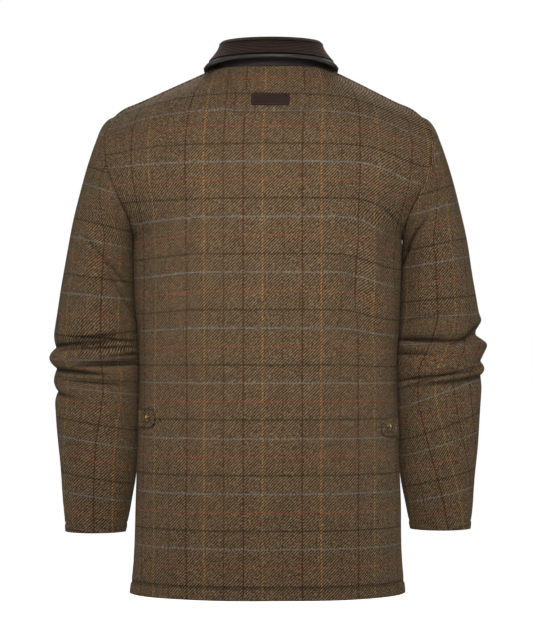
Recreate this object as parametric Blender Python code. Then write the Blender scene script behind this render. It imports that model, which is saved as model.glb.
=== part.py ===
"""Tweed country jacket with a corduroy collar, hollow as it is worn and seen from behind.

Metres, +Z up. The wearer faces +Y, so the back is towards -Y and the wearer's right arm is at +X.
The origin is the middle of the neck opening, level with the neck ends of the shoulder seams.
The tables below are in millimetres.
"""

import math
from collections import namedtuple

import bmesh
import bpy
import numpy as np
from mathutils import Matrix, Vector

MM = 0.001
SEAM_GAP = 0.3
TWEED_THICKNESS = 2.2
LEATHER_THICKNESS = 1.4
CORD_THICKNESS = 1.6
BACK, FRONT = -1, 1
LEFT, RIGHT = -1, 1
ROUND = 0.5523

# Heights on the centre back line
HEM, UNDERARM, NECK_BACK = -747.0, -236.0, 6.0
NECK_FRONT = -72.0
HEM_TURN_UP, HEM_RAISED = 14.0, 0.8

# Neck opening and shoulder seam
NECK_POINT = np.array([78.0, -6.0, 9.0])
SHOULDER_TIP = np.array([227.0, 2.0, -61.0])
NECK_SHARE, NECK_SCOOP = 0.36, 1.6
SHOULDER_BOW = 0.5

# As it hangs in the photo, the neck sits a little to the wearer's right of the hem
LEAN, LEAN_START, LEAN_WIDTH = 4.5, -120.0, 220.0

# One row for each level of the body, measured where it crosses the centre line and the side
Level = namedtuple("Level", "height half_width back front")
BODY = (
    Level(-747, 198.5, 127, 130),
    Level(-702, 194.5, 124, 128),
    Level(-615, 192.0, 121, 126),
    Level(-500, 188.0, 117, 122),
    Level(-410, 186.5, 120, 122),
    Level(-325, 192.0, 130, 127),
    Level(-236, 194.0, 137, 130),
    Level(-176, 194.0, 141, 132),
    Level(-115, 194.0, 135, 129),
    Level(-52, 194.0, 114, 117),
    Level(6, 194.0, 82, 95),
)
BODY_FULLNESS = 1.14

# How the cloth heads into the armhole, from the underarm (rise 0) to the shoulder seam (rise 1)
Heading = namedtuple("Heading", "rise out onward down handle")
ARMHOLE_HEADING = (
    Heading(0.0, 0.00, 1.00, 0.00, 86),
    Heading(0.25, 0.55, 0.80, 0.05, 66),
    Heading(0.5, 0.75, 0.62, 0.15, 60),
    Heading(0.75, 0.85, 0.40, 0.30, 62),
    Heading(1.0, 0.90, 0.03, 0.43, 70),
)
ArmholePoint = namedtuple("ArmholePoint", "height half_width")
ARMHOLE = (
    ArmholePoint(-236, 194),
    ArmholePoint(-205, 201),
    ArmholePoint(-180, 213),
    ArmholePoint(-138, 229),
    ArmholePoint(-90, 233),
    ArmholePoint(-61, 227),
)
ARMHOLE_MIDDLE, ARMHOLE_HALF_HEIGHT = -148.5, 87.5
ARMHOLE_DEPTH = {BACK: 70.0, FRONT: 64.0}
SHOULDER_ROUNDING = 4.5

# One row for each level cut across the hanging sleeve, from the upper arm to the cuff
Ring = namedtuple("Ring", "height x y half_width half_depth")
SLEEVE = (
    Ring(-262, 243.4, 24, 50.6, 79),
    Ring(-300, 246.5, 28, 54.0, 75),
    Ring(-340, 249.0, 32, 58.5, 71),
    Ring(-370, 250.0, 34, 62.5, 67),
    Ring(-410, 250.5, 37, 65.5, 63),
    Ring(-450, 250.0, 38, 63.5, 60),
    Ring(-500, 249.5, 40, 61.0, 57),
    Ring(-540, 249.0, 42, 58.5, 54),
    Ring(-580, 249.0, 45, 55.0, 51),
    Ring(-620, 251.0, 48, 50.0, 47),
    Ring(-660, 253.5, 52, 44.0, 43),
)
ARM_DIRECTION = np.array([0.08, 0.0, -1.0])

# Seams of the three-piece sleeve, in degrees from its outer side towards the back
OUTER_SEAM, HIND_SEAM, FORE_SEAM = 0.0, 144.0, 252.0
CUFF_TURN_UP, CUFF_RAISED = 10.0, 0.7
SLEEVE_DROP = {LEFT: 4.0, RIGHT: 0.0}

# Sleeve folds: soft troughs round the elbow. around is degrees from the outer side towards the back.
SleeveFold = namedtuple("SleeveFold", "height around spread tilt width depth")
SLEEVE_FOLDS = {
    LEFT: (
        SleeveFold(-391, 40, 88, 3, 9, 9.0),
        SleeveFold(-427, 25, 80, -3, 9, 8.0),
        SleeveFold(-460, 10, 60, -6, 9, 6.0),
        SleeveFold(-415, 120, 60, 2, 8, 4.5),
        SleeveFold(-376, 110, 60, 5, 8, 4.0),
        SleeveFold(-409, 5, 60, 0, 8, -3.5),
    ),
    RIGHT: (
        SleeveFold(-372, 10, 45, 4, 10, 10.0),
        SleeveFold(-384, 95, 70, 2, 8, 5.0),
        SleeveFold(-414, 0, 50, 0, 8, 5.0),
        SleeveFold(-440, 45, 95, -5, 9, 7.5),
        SleeveFold(-390, 5, 50, 0, 8, -4.0),
        SleeveFold(-426, 0, 50, 0, 8, -3.0),
    ),
}

# Body folds: soft troughs that hang down the back, as x and height at both ends and at the bend
BodyFold = namedtuple("BodyFold", "top_x top bend_x bend low_x low width depth")
BODY_FOLDS = (
    BodyFold(112, -225, 124, -310, 164, -400, 15, 6.5),
    BodyFold(170, -205, 172, -270, 160, -335, 13, 4.0),
    BodyFold(-164, -215, -168, -300, -164, -390, 15, 4.5),
    BodyFold(-120, -240, -134, -330, -150, -420, 18, 3.0),
)

# Sampling of the cloth
NECK_STEPS, SHOULDER_STEPS, ARMHOLE_STEPS = 6, 6, 10
BODY_ROWS = (-747, -733, -730, -692, -645, -598, -550, -502, -456, -415, -375, -335, -295, -260, -236)
CAP_STEPS = (0, 0.1, 0.24, 0.4, 0.58, 0.78)
SLEEVE_ROWS = (-262, -300, -328, -346, -358, -366, -374, -382, -390, -398, -406, -414, -422, -430, -438, -446,
               -454, -462, -472, -490, -530, -575, -620, -650, -653, -660)

# Collar: a leather under collar and a corduroy upper collar, rolled over together
CollarLine = namedtuple("CollarLine", "half_width back front centre height side_drop front_drop front_end")
COLLAR_FOLD = CollarLine(69.0, 68.0, 92.0, -3.0, 46.1, 0.0, 89.0, 4.0)
COLLAR_EDGE = CollarLine(93.0, 93.0, 119.0, -3.0, 19.0, 6.0, 100.0, 24.0)
COLLAR_END = 176 / 180
COLLAR_ROLL = 5.0
FALL_LENGTH, LEATHER_SHOWS = 40.0, 7.0
CORD_WALES, ROLL_WALES, WALE_HEIGHT = 8, 2, 0.9
COLLAR_ROWS = (0.0, 0.28, 0.54, 0.8, 0.9, 1.0)

# Trimmings
HANG_STRIP = {"width": 112.0, "height": 31.0, "middle": -47.0, "thickness": 1.4}
LABEL = {"width": 54.0, "height": 17.5, "middle": -44.5, "corner": 3.5, "thickness": 1.6}
TAB = {"middle": {LEFT: -494.0, RIGHT: -507.0}, "height": 27.0, "tip_x": 160.0, "thickness": 2.0}
TAB_CAP = {"x": 170.5, "radius": 7.5, "height": 3.0}
TAB_STUD = {"x": 153.5, "radius": 2.6, "height": 2.6, "drop": 2.0}
FRONT_BUTTON = {"radius": 11.0, "height": 4.2, "rim": 1.6, "heights": (-118.0, -240.0, -362.0, -484.0)}
FRONT_LAP = 22.0
LAP_SUNK = 2.7

COLOURS = {
    "tweed": (0.135, 0.092, 0.050, 0.95, 0.0),
    "corduroy": (0.034, 0.021, 0.017, 0.9, 0.0),
    "leather": (0.030, 0.026, 0.024, 0.42, 0.0),
    "label_leather": (0.042, 0.024, 0.022, 0.5, 0.0),
    "brass": (0.30, 0.21, 0.10, 0.38, 1.0),
    "horn": (0.05, 0.03, 0.018, 0.35, 0.0),
}


def column(table, name):
    return np.array([getattr(row, name) for row in table], float)


def through(knots, values, at):
    """Smooth curve through a table: cubic spans with the slopes taken from the neighbours."""
    order = np.argsort(knots)
    knots, values = np.asarray(knots, float)[order], np.asarray(values, float)[order]
    slopes = np.gradient(values, knots)
    at = np.clip(at, knots[0], knots[-1])
    i = np.clip(np.searchsorted(knots, at) - 1, 0, len(knots) - 2)
    span = knots[i + 1] - knots[i]
    s = (at - knots[i]) / span
    before = (1 + 2 * s) * (1 - s) ** 2 * values[i] + s * (1 - s) ** 2 * span * slopes[i]
    after = s * s * (3 - 2 * s) * values[i + 1] + s * s * (s - 1) * span * slopes[i + 1]
    return before + after


def unit(vectors):
    return vectors / np.maximum(np.linalg.norm(vectors, axis=-1, keepdims=True), 1e-9)


def stack(x, y, z):
    return np.stack(np.broadcast_arrays(x, y, z), axis=-1).astype(float)


def smoothstep(low, high, value):
    s = np.clip((value - low) / (high - low), 0, 1)
    return s * s * (3 - 2 * s)


def armhole_edge(half, rise):
    """Armhole line of one half, from the underarm (rise 0) round to the shoulder tip (rise 1)."""
    turn = math.pi * (1 - rise)
    z = ARMHOLE_MIDDLE + ARMHOLE_HALF_HEIGHT * np.cos(turn)
    x = through(column(ARMHOLE, "height"), column(ARMHOLE, "half_width"), z)
    y = half * ARMHOLE_DEPTH[half] * np.sin(turn) + SHOULDER_TIP[1] * rise**6
    return stack(x, y, z)


def neckline(half, angle):
    """Neck seam from the centre line (angle 0) to the neck point (a quarter turn)."""
    at_back = (-column(BODY, "back")[-1], NECK_BACK)
    at_front = (column(BODY, "front")[-1], NECK_FRONT)
    centre = at_back if half == BACK else at_front
    x = NECK_POINT[0] * np.sin(angle)
    y = NECK_POINT[1] + (centre[0] - NECK_POINT[1]) * np.cos(angle)
    z = NECK_POINT[2] + (centre[1] - NECK_POINT[2]) * np.maximum(np.cos(angle), 0) ** NECK_SCOOP
    return stack(x, y, z)


def top_edge(half, across):
    """Neck seam, then shoulder seam, as across goes from the centre line to the shoulder tip."""
    on_neck = neckline(half, np.clip(across / NECK_SHARE, 0, 1) * math.pi / 2)
    s = np.clip((across - NECK_SHARE) / (1 - NECK_SHARE), 0, 1.2)[..., None]
    on_seam = NECK_POINT + (SHOULDER_TIP - NECK_POINT) * s
    on_seam = on_seam + np.array([0, 0, SHOULDER_BOW]) * 4 * s * (1 - s)
    return np.where((across < NECK_SHARE)[..., None], on_neck, on_seam)


def torso(half, across, height):
    """Outer side of the cloth on the wearer's right.

    across goes from the centre line (0) to the side seam or armhole (1). height is that of the row
    where it crosses the centre back.
    """
    across, height = np.broadcast_arrays(np.asarray(across, float), np.asarray(height, float))
    rise = np.clip((height - UNDERARM) / (NECK_BACK - UNDERARM), 0, 1)
    depth = through(column(BODY, "height"), column(BODY, "back" if half == BACK else "front"), height)
    half_width = through(column(BODY, "height"), column(BODY, "half_width"), np.minimum(height, UNDERARM))
    centre_z = height if half == BACK else np.minimum(height, UNDERARM + (NECK_FRONT - UNDERARM) * rise)
    centre = stack(0 * height, half * depth, centre_z)

    low = (height <= UNDERARM)[..., None]
    side = np.where(low, stack(half_width, 0 * height, height), armhole_edge(half, rise))
    rises = column(ARMHOLE_HEADING, "rise")
    out, onward, down, handle = (
        through(rises, column(ARMHOLE_HEADING, name), rise) for name in ("out", "onward", "down", "handle")
    )
    heading = unit(stack(out, -half * onward, -down))
    handle = np.where(height <= UNDERARM, ROUND * BODY_FULLNESS * depth, handle)
    near_centre = centre + stack(ROUND * BODY_FULLNESS * side[..., 0], 0, (side[..., 2] - centre_z) * 0.1)
    near_side = side - heading * handle[..., None]

    q = across[..., None]
    row = (1 - q) ** 3 * centre + 3 * (1 - q) ** 2 * q * near_centre
    row = row + 3 * (1 - q) * q**2 * near_side + q**3 * side
    share = (rise**SHOULDER_ROUNDING)[..., None]
    towards_tip = smoothstep(NECK_SHARE, 1, across)[..., None]
    top = top_edge(half, across) + (side - SHOULDER_TIP) * towards_tip
    return row * (1 - share) + top * share


def torso_normals(half, across, height):
    """Outward directions of the torso cloth, from small steps along and across it."""
    step_q, step_h = 0.004, 1.0
    along = torso(half, across + step_q, height) - torso(half, across - step_q, height)
    upper = np.minimum(height, NECK_BACK - 0.1)
    upper = np.where(np.abs(upper - UNDERARM) < 0.01, UNDERARM - step_h, upper)
    up = torso(half, across, upper) - torso(half, across, upper - step_h)
    normals = unit(np.cross(along, up)) * -half
    seam = unit(SHOULDER_TIP - NECK_POINT)
    on_shoulder = unit(np.cross(seam, np.array([0.0, -1.0, 0.0])))
    near_seam = (height >= NECK_BACK - 1) & (across > NECK_SHARE - 0.01)
    return np.where(near_seam[..., None], on_shoulder, normals)


def body_fold_depth(points):
    """How far the hanging folds of the back press the cloth in."""
    depth = np.zeros(points.shape[:-1])
    for f in BODY_FOLDS:
        knots = (f.low, f.bend, f.top)
        line = through(knots, (f.low_x, f.bend_x, f.top_x), points[..., 2])
        reach = smoothstep(f.low, f.low + 60, points[..., 2])
        reach = reach * (1 - smoothstep(f.top - 60, f.top, points[..., 2]))
        depth += f.depth * reach * np.exp(-(((points[..., 0] - line) / f.width) ** 2))
    return depth


def sleeve_ring(around, height):
    """Hanging sleeve on the wearer's right. around 0 is its outer side and a quarter turn its back."""
    heights = column(SLEEVE, "height")
    x, y, half_width, half_depth = (
        through(heights, column(SLEEVE, name), height) for name in ("x", "y", "half_width", "half_depth")
    )
    return stack(x + half_width * np.cos(around), y - half_depth * np.sin(around), height)


def armhole_loop(around):
    """Armhole point, the torso cloth's heading there and its outward direction, all round the sleeve."""
    at_back = around <= math.pi
    rise = np.where(at_back, 1 - around / math.pi, around / math.pi - 1)
    height = UNDERARM + rise * (NECK_BACK - UNDERARM)
    found = []
    for half in (BACK, FRONT):
        one = np.ones_like(height)
        heading = unit(torso(half, one, height) - torso(half, one - 0.01, height))
        found.append((torso(half, one, height), heading, torso_normals(half, one, height)))
    return [np.where(at_back[..., None], b, f) for b, f in zip(*found)]


def sleeve(around, along):
    """Sleeve surface: along 0 to 1 is the sleeve head, and below -1 it is a height on the hanging sleeve."""
    around, along = np.broadcast_arrays(np.asarray(around, float) % (2 * math.pi), np.asarray(along, float))
    edge, heading, outward = armhole_loop(around)
    low = (np.sin(around / 2) ** 2)[..., None]
    away = unit(heading * (1 - low) + outward * low)
    start = edge + away * (SEAM_GAP + 0.5 * low)
    top_ring = SLEEVE[0].height
    end = sleeve_ring(around, np.full(around.shape, float(top_ring)))
    distance = np.linalg.norm(end - start, axis=-1, keepdims=True)
    leave = unit(heading * (1 - low) + (ARM_DIRECTION + 0.75 * outward) * low) * distance * (0.37 + 0.4 * low)
    arrive = unit(sleeve_ring(around, np.full(around.shape, top_ring - 6.0)) - end) * distance * 0.9
    s = np.clip(along, 0, 1)[..., None]
    head = (1 + 2 * s) * (1 - s) ** 2 * start + s * (1 - s) ** 2 * leave
    head = head + s * s * (3 - 2 * s) * end + s * s * (s - 1) * arrive
    return np.where((along >= 0)[..., None], head, sleeve_ring(around, np.minimum(along, top_ring)))


def sleeve_normals(around, along):
    turn = sleeve(around + 0.02, along) - sleeve(around - 0.02, along)
    step = np.where(along >= 0, 0.02, 2.0)
    upper = np.where((along >= 0) & (along < 0.02), along, np.where(along >= 0, along - step, along + step))
    upper = np.where((along < 0) & (upper > SLEEVE[0].height), along, upper)
    lower = np.where(along >= 0, np.minimum(along + step, 1), along - step)
    lower = np.where((along < 0) & (lower < SLEEVE[-1].height), along, lower)
    normals = unit(np.cross(turn, sleeve(around, lower) - sleeve(around, upper)))
    _, _, seam_normals = armhole_loop(np.asarray(around, float) % (2 * math.pi))
    share = ((along >= 0) & (along < 1e-6)) * (1 - smoothstep(0.35, 0.75, np.sin(around / 2) ** 2))
    return unit(normals * (1 - share[..., None]) + seam_normals * share[..., None])


def sleeve_fold_depth(side, around, along):
    """How far the elbow folds press the sleeve in."""
    depth = np.zeros(np.broadcast(around, along).shape)
    for f in SLEEVE_FOLDS[side]:
        turn = (np.degrees(around) - f.around + 180) % 360 - 180
        line = f.height + f.tilt * turn / 45
        window = np.clip(1 - (turn / f.spread) ** 2, 0, 1) ** 1.5
        depth += f.depth * window * np.exp(-(((along - line) / f.width) ** 2))
    return np.where(along < 0, depth, 0)


def mirrored(points, side):
    return points * np.array([side, 1, 1])


def new_object(name, mesh, material):
    found = bpy.data.materials.get(material) or bpy.data.materials.new(material)
    red, green, blue, roughness, metallic = COLOURS[material]
    found.use_nodes = True
    shader = found.node_tree.nodes["Principled BSDF"]
    shader.inputs["Base Color"].default_value = (red, green, blue, 1)
    shader.inputs["Roughness"].default_value = roughness
    shader.inputs["Metallic"].default_value = metallic
    found.diffuse_color = (red, green, blue, 1)
    mesh.materials.append(found)
    mesh.shade_smooth()
    mesh.set_sharp_from_angle(angle=math.radians(50))
    made = bpy.data.objects.new(name, mesh)
    bpy.context.scene.collection.objects.link(made)
    return made


def leaned(points):
    """The slight shift of the neck towards the wearer's right."""
    points = np.array(points, float)
    near_neck = 1 - smoothstep(0.4 * LEAN_WIDTH, LEAN_WIDTH, np.abs(points[..., 0]))
    points[..., 0] += LEAN * smoothstep(LEAN_START, 0, points[..., 2]) * near_neck
    return points


def wall(name, outer, inner, material):
    """Closed wall between two equal grids of points."""
    rows, columns = outer.shape[:2]
    builder = bmesh.new()
    grids = [[[builder.verts.new(Vector(p) * MM) for p in row] for row in leaned(grid)]
             for grid in (outer, inner)]
    across = [(c, c + 1) for c in range(columns - 1)]
    for r in range(rows - 1):
        for c, d in across:
            for grid, turn in zip(grids, (1, -1)):
                quad = (grid[r][c], grid[r][d], grid[r + 1][d], grid[r + 1][c])
                builder.faces.new(quad[::turn])
    out, within = grids
    for r, turn in ((0, -1), (rows - 1, 1)):
        for c, d in across:
            builder.faces.new((out[r][c], out[r][d], within[r][d], within[r][c])[::turn])
    for c, turn in ((0, 1), (columns - 1, -1)):
        for r in range(rows - 1):
            builder.faces.new((out[r][c], out[r + 1][c], within[r + 1][c], within[r][c])[::turn])
    if builder.calc_volume(signed=True) < 0:
        bmesh.ops.reverse_faces(builder, faces=builder.faces[:])
    mesh = bpy.data.meshes.new(name)
    builder.to_mesh(mesh)
    builder.free()
    return new_object(name, mesh, material)


def half_columns():
    """Steps from the centre line to the side, with one on the neck point."""
    neck = np.linspace(0, NECK_SHARE, NECK_STEPS + 1)
    return np.concatenate([neck, np.linspace(NECK_SHARE, 1, SHOULDER_STEPS + 1)[1:]])


def body_rows():
    rise = np.linspace(0, 1, ARMHOLE_STEPS + 1)[1:]
    return np.concatenate([BODY_ROWS, UNDERARM + rise * (NECK_BACK - UNDERARM)])


def panel_surface(half, across, height):
    """Points and outward directions of a torso panel. across below 0 is the wearer's left."""
    inset_rows = np.where(height > NECK_BACK - 0.01, height - SEAM_GAP / 2, height)
    reach = np.clip(np.abs(across), 0, 1)
    points = torso(half, reach, inset_rows)
    normals = torso_normals(half, reach, inset_rows)
    at_side = (reach > 0.999) & (height <= UNDERARM + 0.01)
    points[..., 1] = np.where(at_side, half * SEAM_GAP / 2, points[..., 1])
    flip = stack(np.where(across < 0, -1, 1), 1, 1)
    points, normals = points * flip, normals * flip
    raised = HEM_RAISED * (1 - smoothstep(HEM_TURN_UP, HEM_TURN_UP + 3, height - HEM))
    if half == BACK:
        raised = raised - body_fold_depth(points)
    return points + normals * raised[..., None], normals


def make_back():
    right = half_columns()
    from_neck_down = body_rows()[::-1]
    across, height = np.meshgrid(np.concatenate([-right[:0:-1], right]), from_neck_down)
    outer, normals = panel_surface(BACK, across, height)
    wall("back", outer, outer - normals * TWEED_THICKNESS, "tweed")


def lap_depth(across, side):
    """The left front laps over the right one, which sinks behind it at the centre."""
    sunk = LAP_SUNK if side == RIGHT else 0.0
    return sunk * (1 - smoothstep(0.1, 0.3, across))


def make_front(side, name):
    lap = FRONT_LAP / (BODY[0].half_width * 1.75)
    towards_side = half_columns()
    columns = np.concatenate([[-lap, -lap / 2], towards_side])
    across, height = np.meshgrid(columns, body_rows())
    outer, normals = panel_surface(FRONT, across, height)
    outer = outer - normals * lap_depth(across, side)[..., None]
    inner = outer - normals * TWEED_THICKNESS
    wall(name, mirrored(outer, side), mirrored(inner, side), "tweed")


def sleeve_turns(start, end):
    """Steps round the sleeve between two seams, less the seam gap at both ends."""
    steps = round((end - start) * ARMHOLE_STEPS / 180)
    turns = np.radians(np.linspace(start, end, steps + 1))
    gap = SEAM_GAP / 2 / SLEEVE[0].half_width
    turns[0] += gap
    turns[-1] -= gap
    return turns


def make_sleeve(side, name, start, end):
    """One piece of the sleeve, from one seam round to the next."""
    along = np.concatenate([CAP_STEPS, SLEEVE_ROWS])
    around, along = np.meshgrid(sleeve_turns(start, end), along)
    points, normals = sleeve(around, along), sleeve_normals(around, along)
    raised = CUFF_RAISED * (1 - smoothstep(CUFF_TURN_UP - 3, CUFF_TURN_UP, along - SLEEVE[-1].height))
    raised = np.where(along < 0, raised, 0) - sleeve_fold_depth(side, around, along)
    points[..., 2] -= SLEEVE_DROP[side] * (1 - smoothstep(SLEEVE[-1].height, -500, points[..., 2]))
    outer = points + normals * raised[..., None]
    inner = outer - normals * TWEED_THICKNESS
    wall(name, mirrored(outer, side), mirrored(inner, side), "tweed")


def collar_line(line, share):
    """Point of the fold or the outer edge. share goes from the centre back (0) to COLLAR_END at the front."""
    angle = share / COLLAR_END * math.radians(180 - line.front_end)
    back = angle <= math.pi / 2
    depth = np.where(back, line.back, line.front)
    x = line.half_width * np.sin(angle)
    y = line.centre - depth * np.cos(angle)
    cosine = np.abs(np.cos(angle))
    side_height = line.height - line.side_drop
    behind = side_height + line.side_drop * cosine
    ahead = side_height - line.front_drop * cosine**NECK_SCOOP
    z = np.where(back, behind, ahead)
    return stack(x, y, z)


def collar_seam(share):
    """Neck seam under the collar."""
    angle = share * math.pi
    back = angle <= math.pi / 2
    return np.where(back[..., None], neckline(BACK, angle), neckline(FRONT, math.pi - angle))


def collar_surface(share, across):
    """Middle surface between the two layers.

    across is 0 at the neck seam, 1 at the fold and 2 at the outer edge.
    """
    share, across = np.broadcast_arrays(share, across)
    seam, fold, edge = collar_seam(share), collar_line(COLLAR_FOLD, share), collar_line(COLLAR_EDGE, share)
    outward = unit((edge - fold) * np.array([1, 1, 0]))
    up = np.array([0, 0, 1.0])
    past_back = smoothstep(0.28, 0.46, share)[..., None]
    seam = seam + up * (0.45 + 0.35 * past_back) - outward * (0.6 + 1.3 * past_back)
    roll = COLLAR_ROLL
    within = fold - outward * roll - up * roll
    beyond = fold + outward * roll - up * roll
    s = np.clip(across, 0, 0.8)[..., None] / 0.8
    stand = seam * (1 - s) ** 2 + 2 * s * (1 - s) * (within - up * 12) + s**2 * within
    turn = (np.clip(across, 0.8, 1.2) - 0.8) / 0.4 * math.pi
    arc = fold - up * roll - outward * roll * np.cos(turn)[..., None] + up * roll * np.sin(turn)[..., None]
    f = (np.maximum(across, 1.2)[..., None] - 1.2) / 0.8
    fall = beyond * (1 - f) ** 2 + 2 * f * (1 - f) * (beyond - up * 9 + outward * 3) + f**2 * edge
    flick = np.maximum(f - 1, 0)
    fall = fall + outward * flick * 12
    found = np.where((across < 0.8)[..., None], stand, arc)
    return np.where((across > 1.2)[..., None], fall, found)


def collar_normals(share, across):
    step = 0.02
    along = collar_surface(share + step, across) - collar_surface(share - step, across)
    over = collar_surface(share, across + step) - collar_surface(share, np.maximum(across - step, 0))
    return unit(np.cross(over, along))


def collar_grid(rows):
    """Whole collar, from the wearer's left front end round the back to the right one."""
    right = np.append(np.linspace(0, 1, 2 * NECK_STEPS + 1)[:-1], COLLAR_END)
    share, across = np.meshgrid(right, rows)
    points, normals = collar_surface(share, across), collar_normals(share, across)
    normals[:, 0, 0] = 0
    normals = unit(normals)
    flip = np.array([-1, 1, 1])
    left = slice(None, 0, -1)
    return (np.concatenate([points[:, left] * flip, points], axis=1),
            np.concatenate([normals[:, left] * flip, normals], axis=1),
            np.concatenate([across[:, left], across], axis=1))


def make_collar():
    fall_edge = 2 - 0.8 * LEATHER_SHOWS / FALL_LENGTH
    roll = np.linspace(1.0, 1.2, 2 * ROLL_WALES + 1)
    ribbed = np.concatenate([roll[:-1], np.linspace(1.2, fall_edge, 2 * CORD_WALES + 1)])
    points, normals, across = collar_grid(np.concatenate([[0.08], COLLAR_ROWS[1:-1], ribbed]))
    raised = np.zeros(across.shape)
    raised[len(COLLAR_ROWS)::2] = WALE_HEIGHT
    near = SEAM_GAP * 1.5
    outer = points + normals * (near + CORD_THICKNESS + raised)[..., None]
    wall("collar_upper", outer, points + normals * near, "corduroy")

    shown = [fall_edge + 0.04, 2.0, 2.08]
    under = np.concatenate([COLLAR_ROWS[:-1], roll[:-1:2], ribbed[2 * ROLL_WALES::4], shown])
    points, normals, across = collar_grid(under)
    curled = np.where(across > fall_edge, 1.0, 0.0)
    top = points - normals * near
    wall("collar_under", top, top - normals * (LEATHER_THICKNESS + 0.6 * curled)[..., None], "leather")


def back_at(x, z):
    """Point and outward direction of the back panel at a given x and height."""
    x, z = np.broadcast_arrays(np.asarray(x, float), np.asarray(z, float))
    sign = np.where(x < 0, -1.0, 1.0)
    across, height = np.abs(x) / 230, z.copy()
    for _ in range(12):
        here = torso(BACK, across, height)
        d_across = (torso(BACK, across + 0.002, height) - here) / 0.002
        d_height = (torso(BACK, across, height - 0.5) - here) / -0.5
        miss_x, miss_z = np.abs(x) - here[..., 0], z - here[..., 2]
        det = d_across[..., 0] * d_height[..., 2] - d_height[..., 0] * d_across[..., 2]
        across = np.clip(across + (miss_x * d_height[..., 2] - miss_z * d_height[..., 0]) / det, 0, 0.995)
        step = (d_across[..., 0] * miss_z - d_across[..., 2] * miss_x) / det
        height = np.clip(height + step, HEM, NECK_BACK)
    points, normals = panel_surface(BACK, across * sign, height)
    return points, normals


def patch(name, x, z, lift, thickness, material):
    """Flat piece that lies on the back, made from the back's own points moved out."""
    points, normals = back_at(x, z)
    inner = points + normals * lift
    wall(name, inner + normals * thickness, inner, material)


def rounded_grid(width, height, corner, columns, rows):
    """Grid over a rectangle whose outline has round corners."""
    u, v = np.meshgrid(np.linspace(-1, 1, columns), np.linspace(-1, 1, rows))
    x, z = u * width / 2, v * height / 2
    over_x = np.clip(np.abs(x) - (width / 2 - corner), 0, corner) / corner
    over_z = np.clip(np.abs(z) - (height / 2 - corner), 0, corner) / corner
    pull_x = corner * (over_x - over_x * np.sqrt(1 - over_z**2 / 2))
    pull_z = corner * (over_z - over_z * np.sqrt(1 - over_x**2 / 2))
    return x - np.sign(x) * pull_x, z - np.sign(z) * pull_z


def make_label():
    strip = HANG_STRIP
    u, v = np.meshgrid(np.linspace(-1, 1, 11), np.linspace(-1, 1, 4))
    x, z = u * strip["width"] / 2, v * strip["height"] / 2
    patch("hang_strip", x, z + strip["middle"], SEAM_GAP, strip["thickness"], "tweed")
    x, z = rounded_grid(LABEL["width"], LABEL["height"], LABEL["corner"], 9, 6)
    lift = SEAM_GAP + strip["thickness"] + SEAM_GAP
    patch("label", x, z + LABEL["middle"], lift, LABEL["thickness"], "label_leather")


def turned(name, profile, place, axis, material, steps=16):
    """Round piece spun from a profile of (radius, height) points in millimetres, standing on place."""
    builder = bmesh.new()
    rings = []
    for radius, height in profile:
        if radius == 0:
            rings.append([builder.verts.new((0, 0, height * MM))])
            continue
        turns = [2 * math.pi * k / steps for k in range(steps)]
        rings.append([builder.verts.new((radius * MM * math.cos(a), radius * MM * math.sin(a), height * MM))
                      for a in turns])
    for low, high in zip(rings, rings[1:]):
        for k in range(steps):
            below = [low[k % len(low)], low[(k + 1) % len(low)]]
            above = [high[(k + 1) % len(high)], high[k % len(high)]]
            builder.faces.new(list(dict.fromkeys(below + above)))
    if builder.calc_volume(signed=True) < 0:
        bmesh.ops.reverse_faces(builder, faces=builder.faces[:])
    mesh = bpy.data.meshes.new(name)
    builder.to_mesh(mesh)
    builder.free()
    made = new_object(name, mesh, material)
    turn = Vector((0, 0, 1)).rotation_difference(Vector(axis)).to_matrix().to_4x4()
    made.matrix_world = Matrix.Translation(Vector(leaned(place)) * MM) @ turn
    return made


def dome(radius, height):
    """Profile of a low domed cap."""
    return [(0, 0), (radius * 0.9, 0), (radius, height * 0.3), (radius * 0.92, height * 0.62),
            (radius * 0.6, height * 0.92), (0, height)]


def make_tab(side, name):
    """Side tab sewn into the side seam, with its cap and the spare stud."""
    half_height = TAB["height"] / 2
    across = np.linspace(0, 1, 9)
    v = np.linspace(-1, 1, 7)
    far_x = BODY[3].half_width - 3.0
    u, v = np.meshgrid(across, v)
    tip = TAB["tip_x"] + half_height * 0.62 * (1 - np.sqrt(np.clip(1 - v**2, 0, 1)))
    x = tip + (far_x - tip) * u**1.6
    middle = TAB["middle"][side]
    z = middle + half_height * np.sign(v) * np.abs(v) ** 0.8
    patch(f"tab_{name}", side * x, z, 2 * SEAM_GAP, TAB["thickness"], "tweed")
    lift = 3 * SEAM_GAP + TAB["thickness"]
    for label, size, height, raised in (("cap", TAB_CAP, middle, lift),
                                        ("stud", TAB_STUD, middle - TAB_STUD["drop"], SEAM_GAP)):
        point, normal = back_at(side * size["x"], height)
        turned(f"tab_{label}_{name}", dome(size["radius"], size["height"]),
               point + normal * raised, normal, "brass", 12)


def make_front_buttons():
    size = FRONT_BUTTON
    profile = [(0, 0), (size["radius"] * 0.85, 0), (size["radius"], size["height"] * 0.45),
               (size["radius"] - 0.5, size["height"]), (size["radius"] - size["rim"] - 0.5, size["height"]),
               (size["radius"] * 0.6, size["height"] * 0.7), (0, size["height"] * 0.62)]
    for count, height in enumerate(size["heights"], 1):
        row = UNDERARM + (height - UNDERARM) * (NECK_BACK - UNDERARM) / (NECK_FRONT - UNDERARM)
        row = np.array(row if height > UNDERARM else height)
        points, normals = panel_surface(FRONT, np.array(0.0), row)
        place = points + normals * SEAM_GAP
        turned(f"front_button_{count}", profile, place, normals, "horn")


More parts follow.
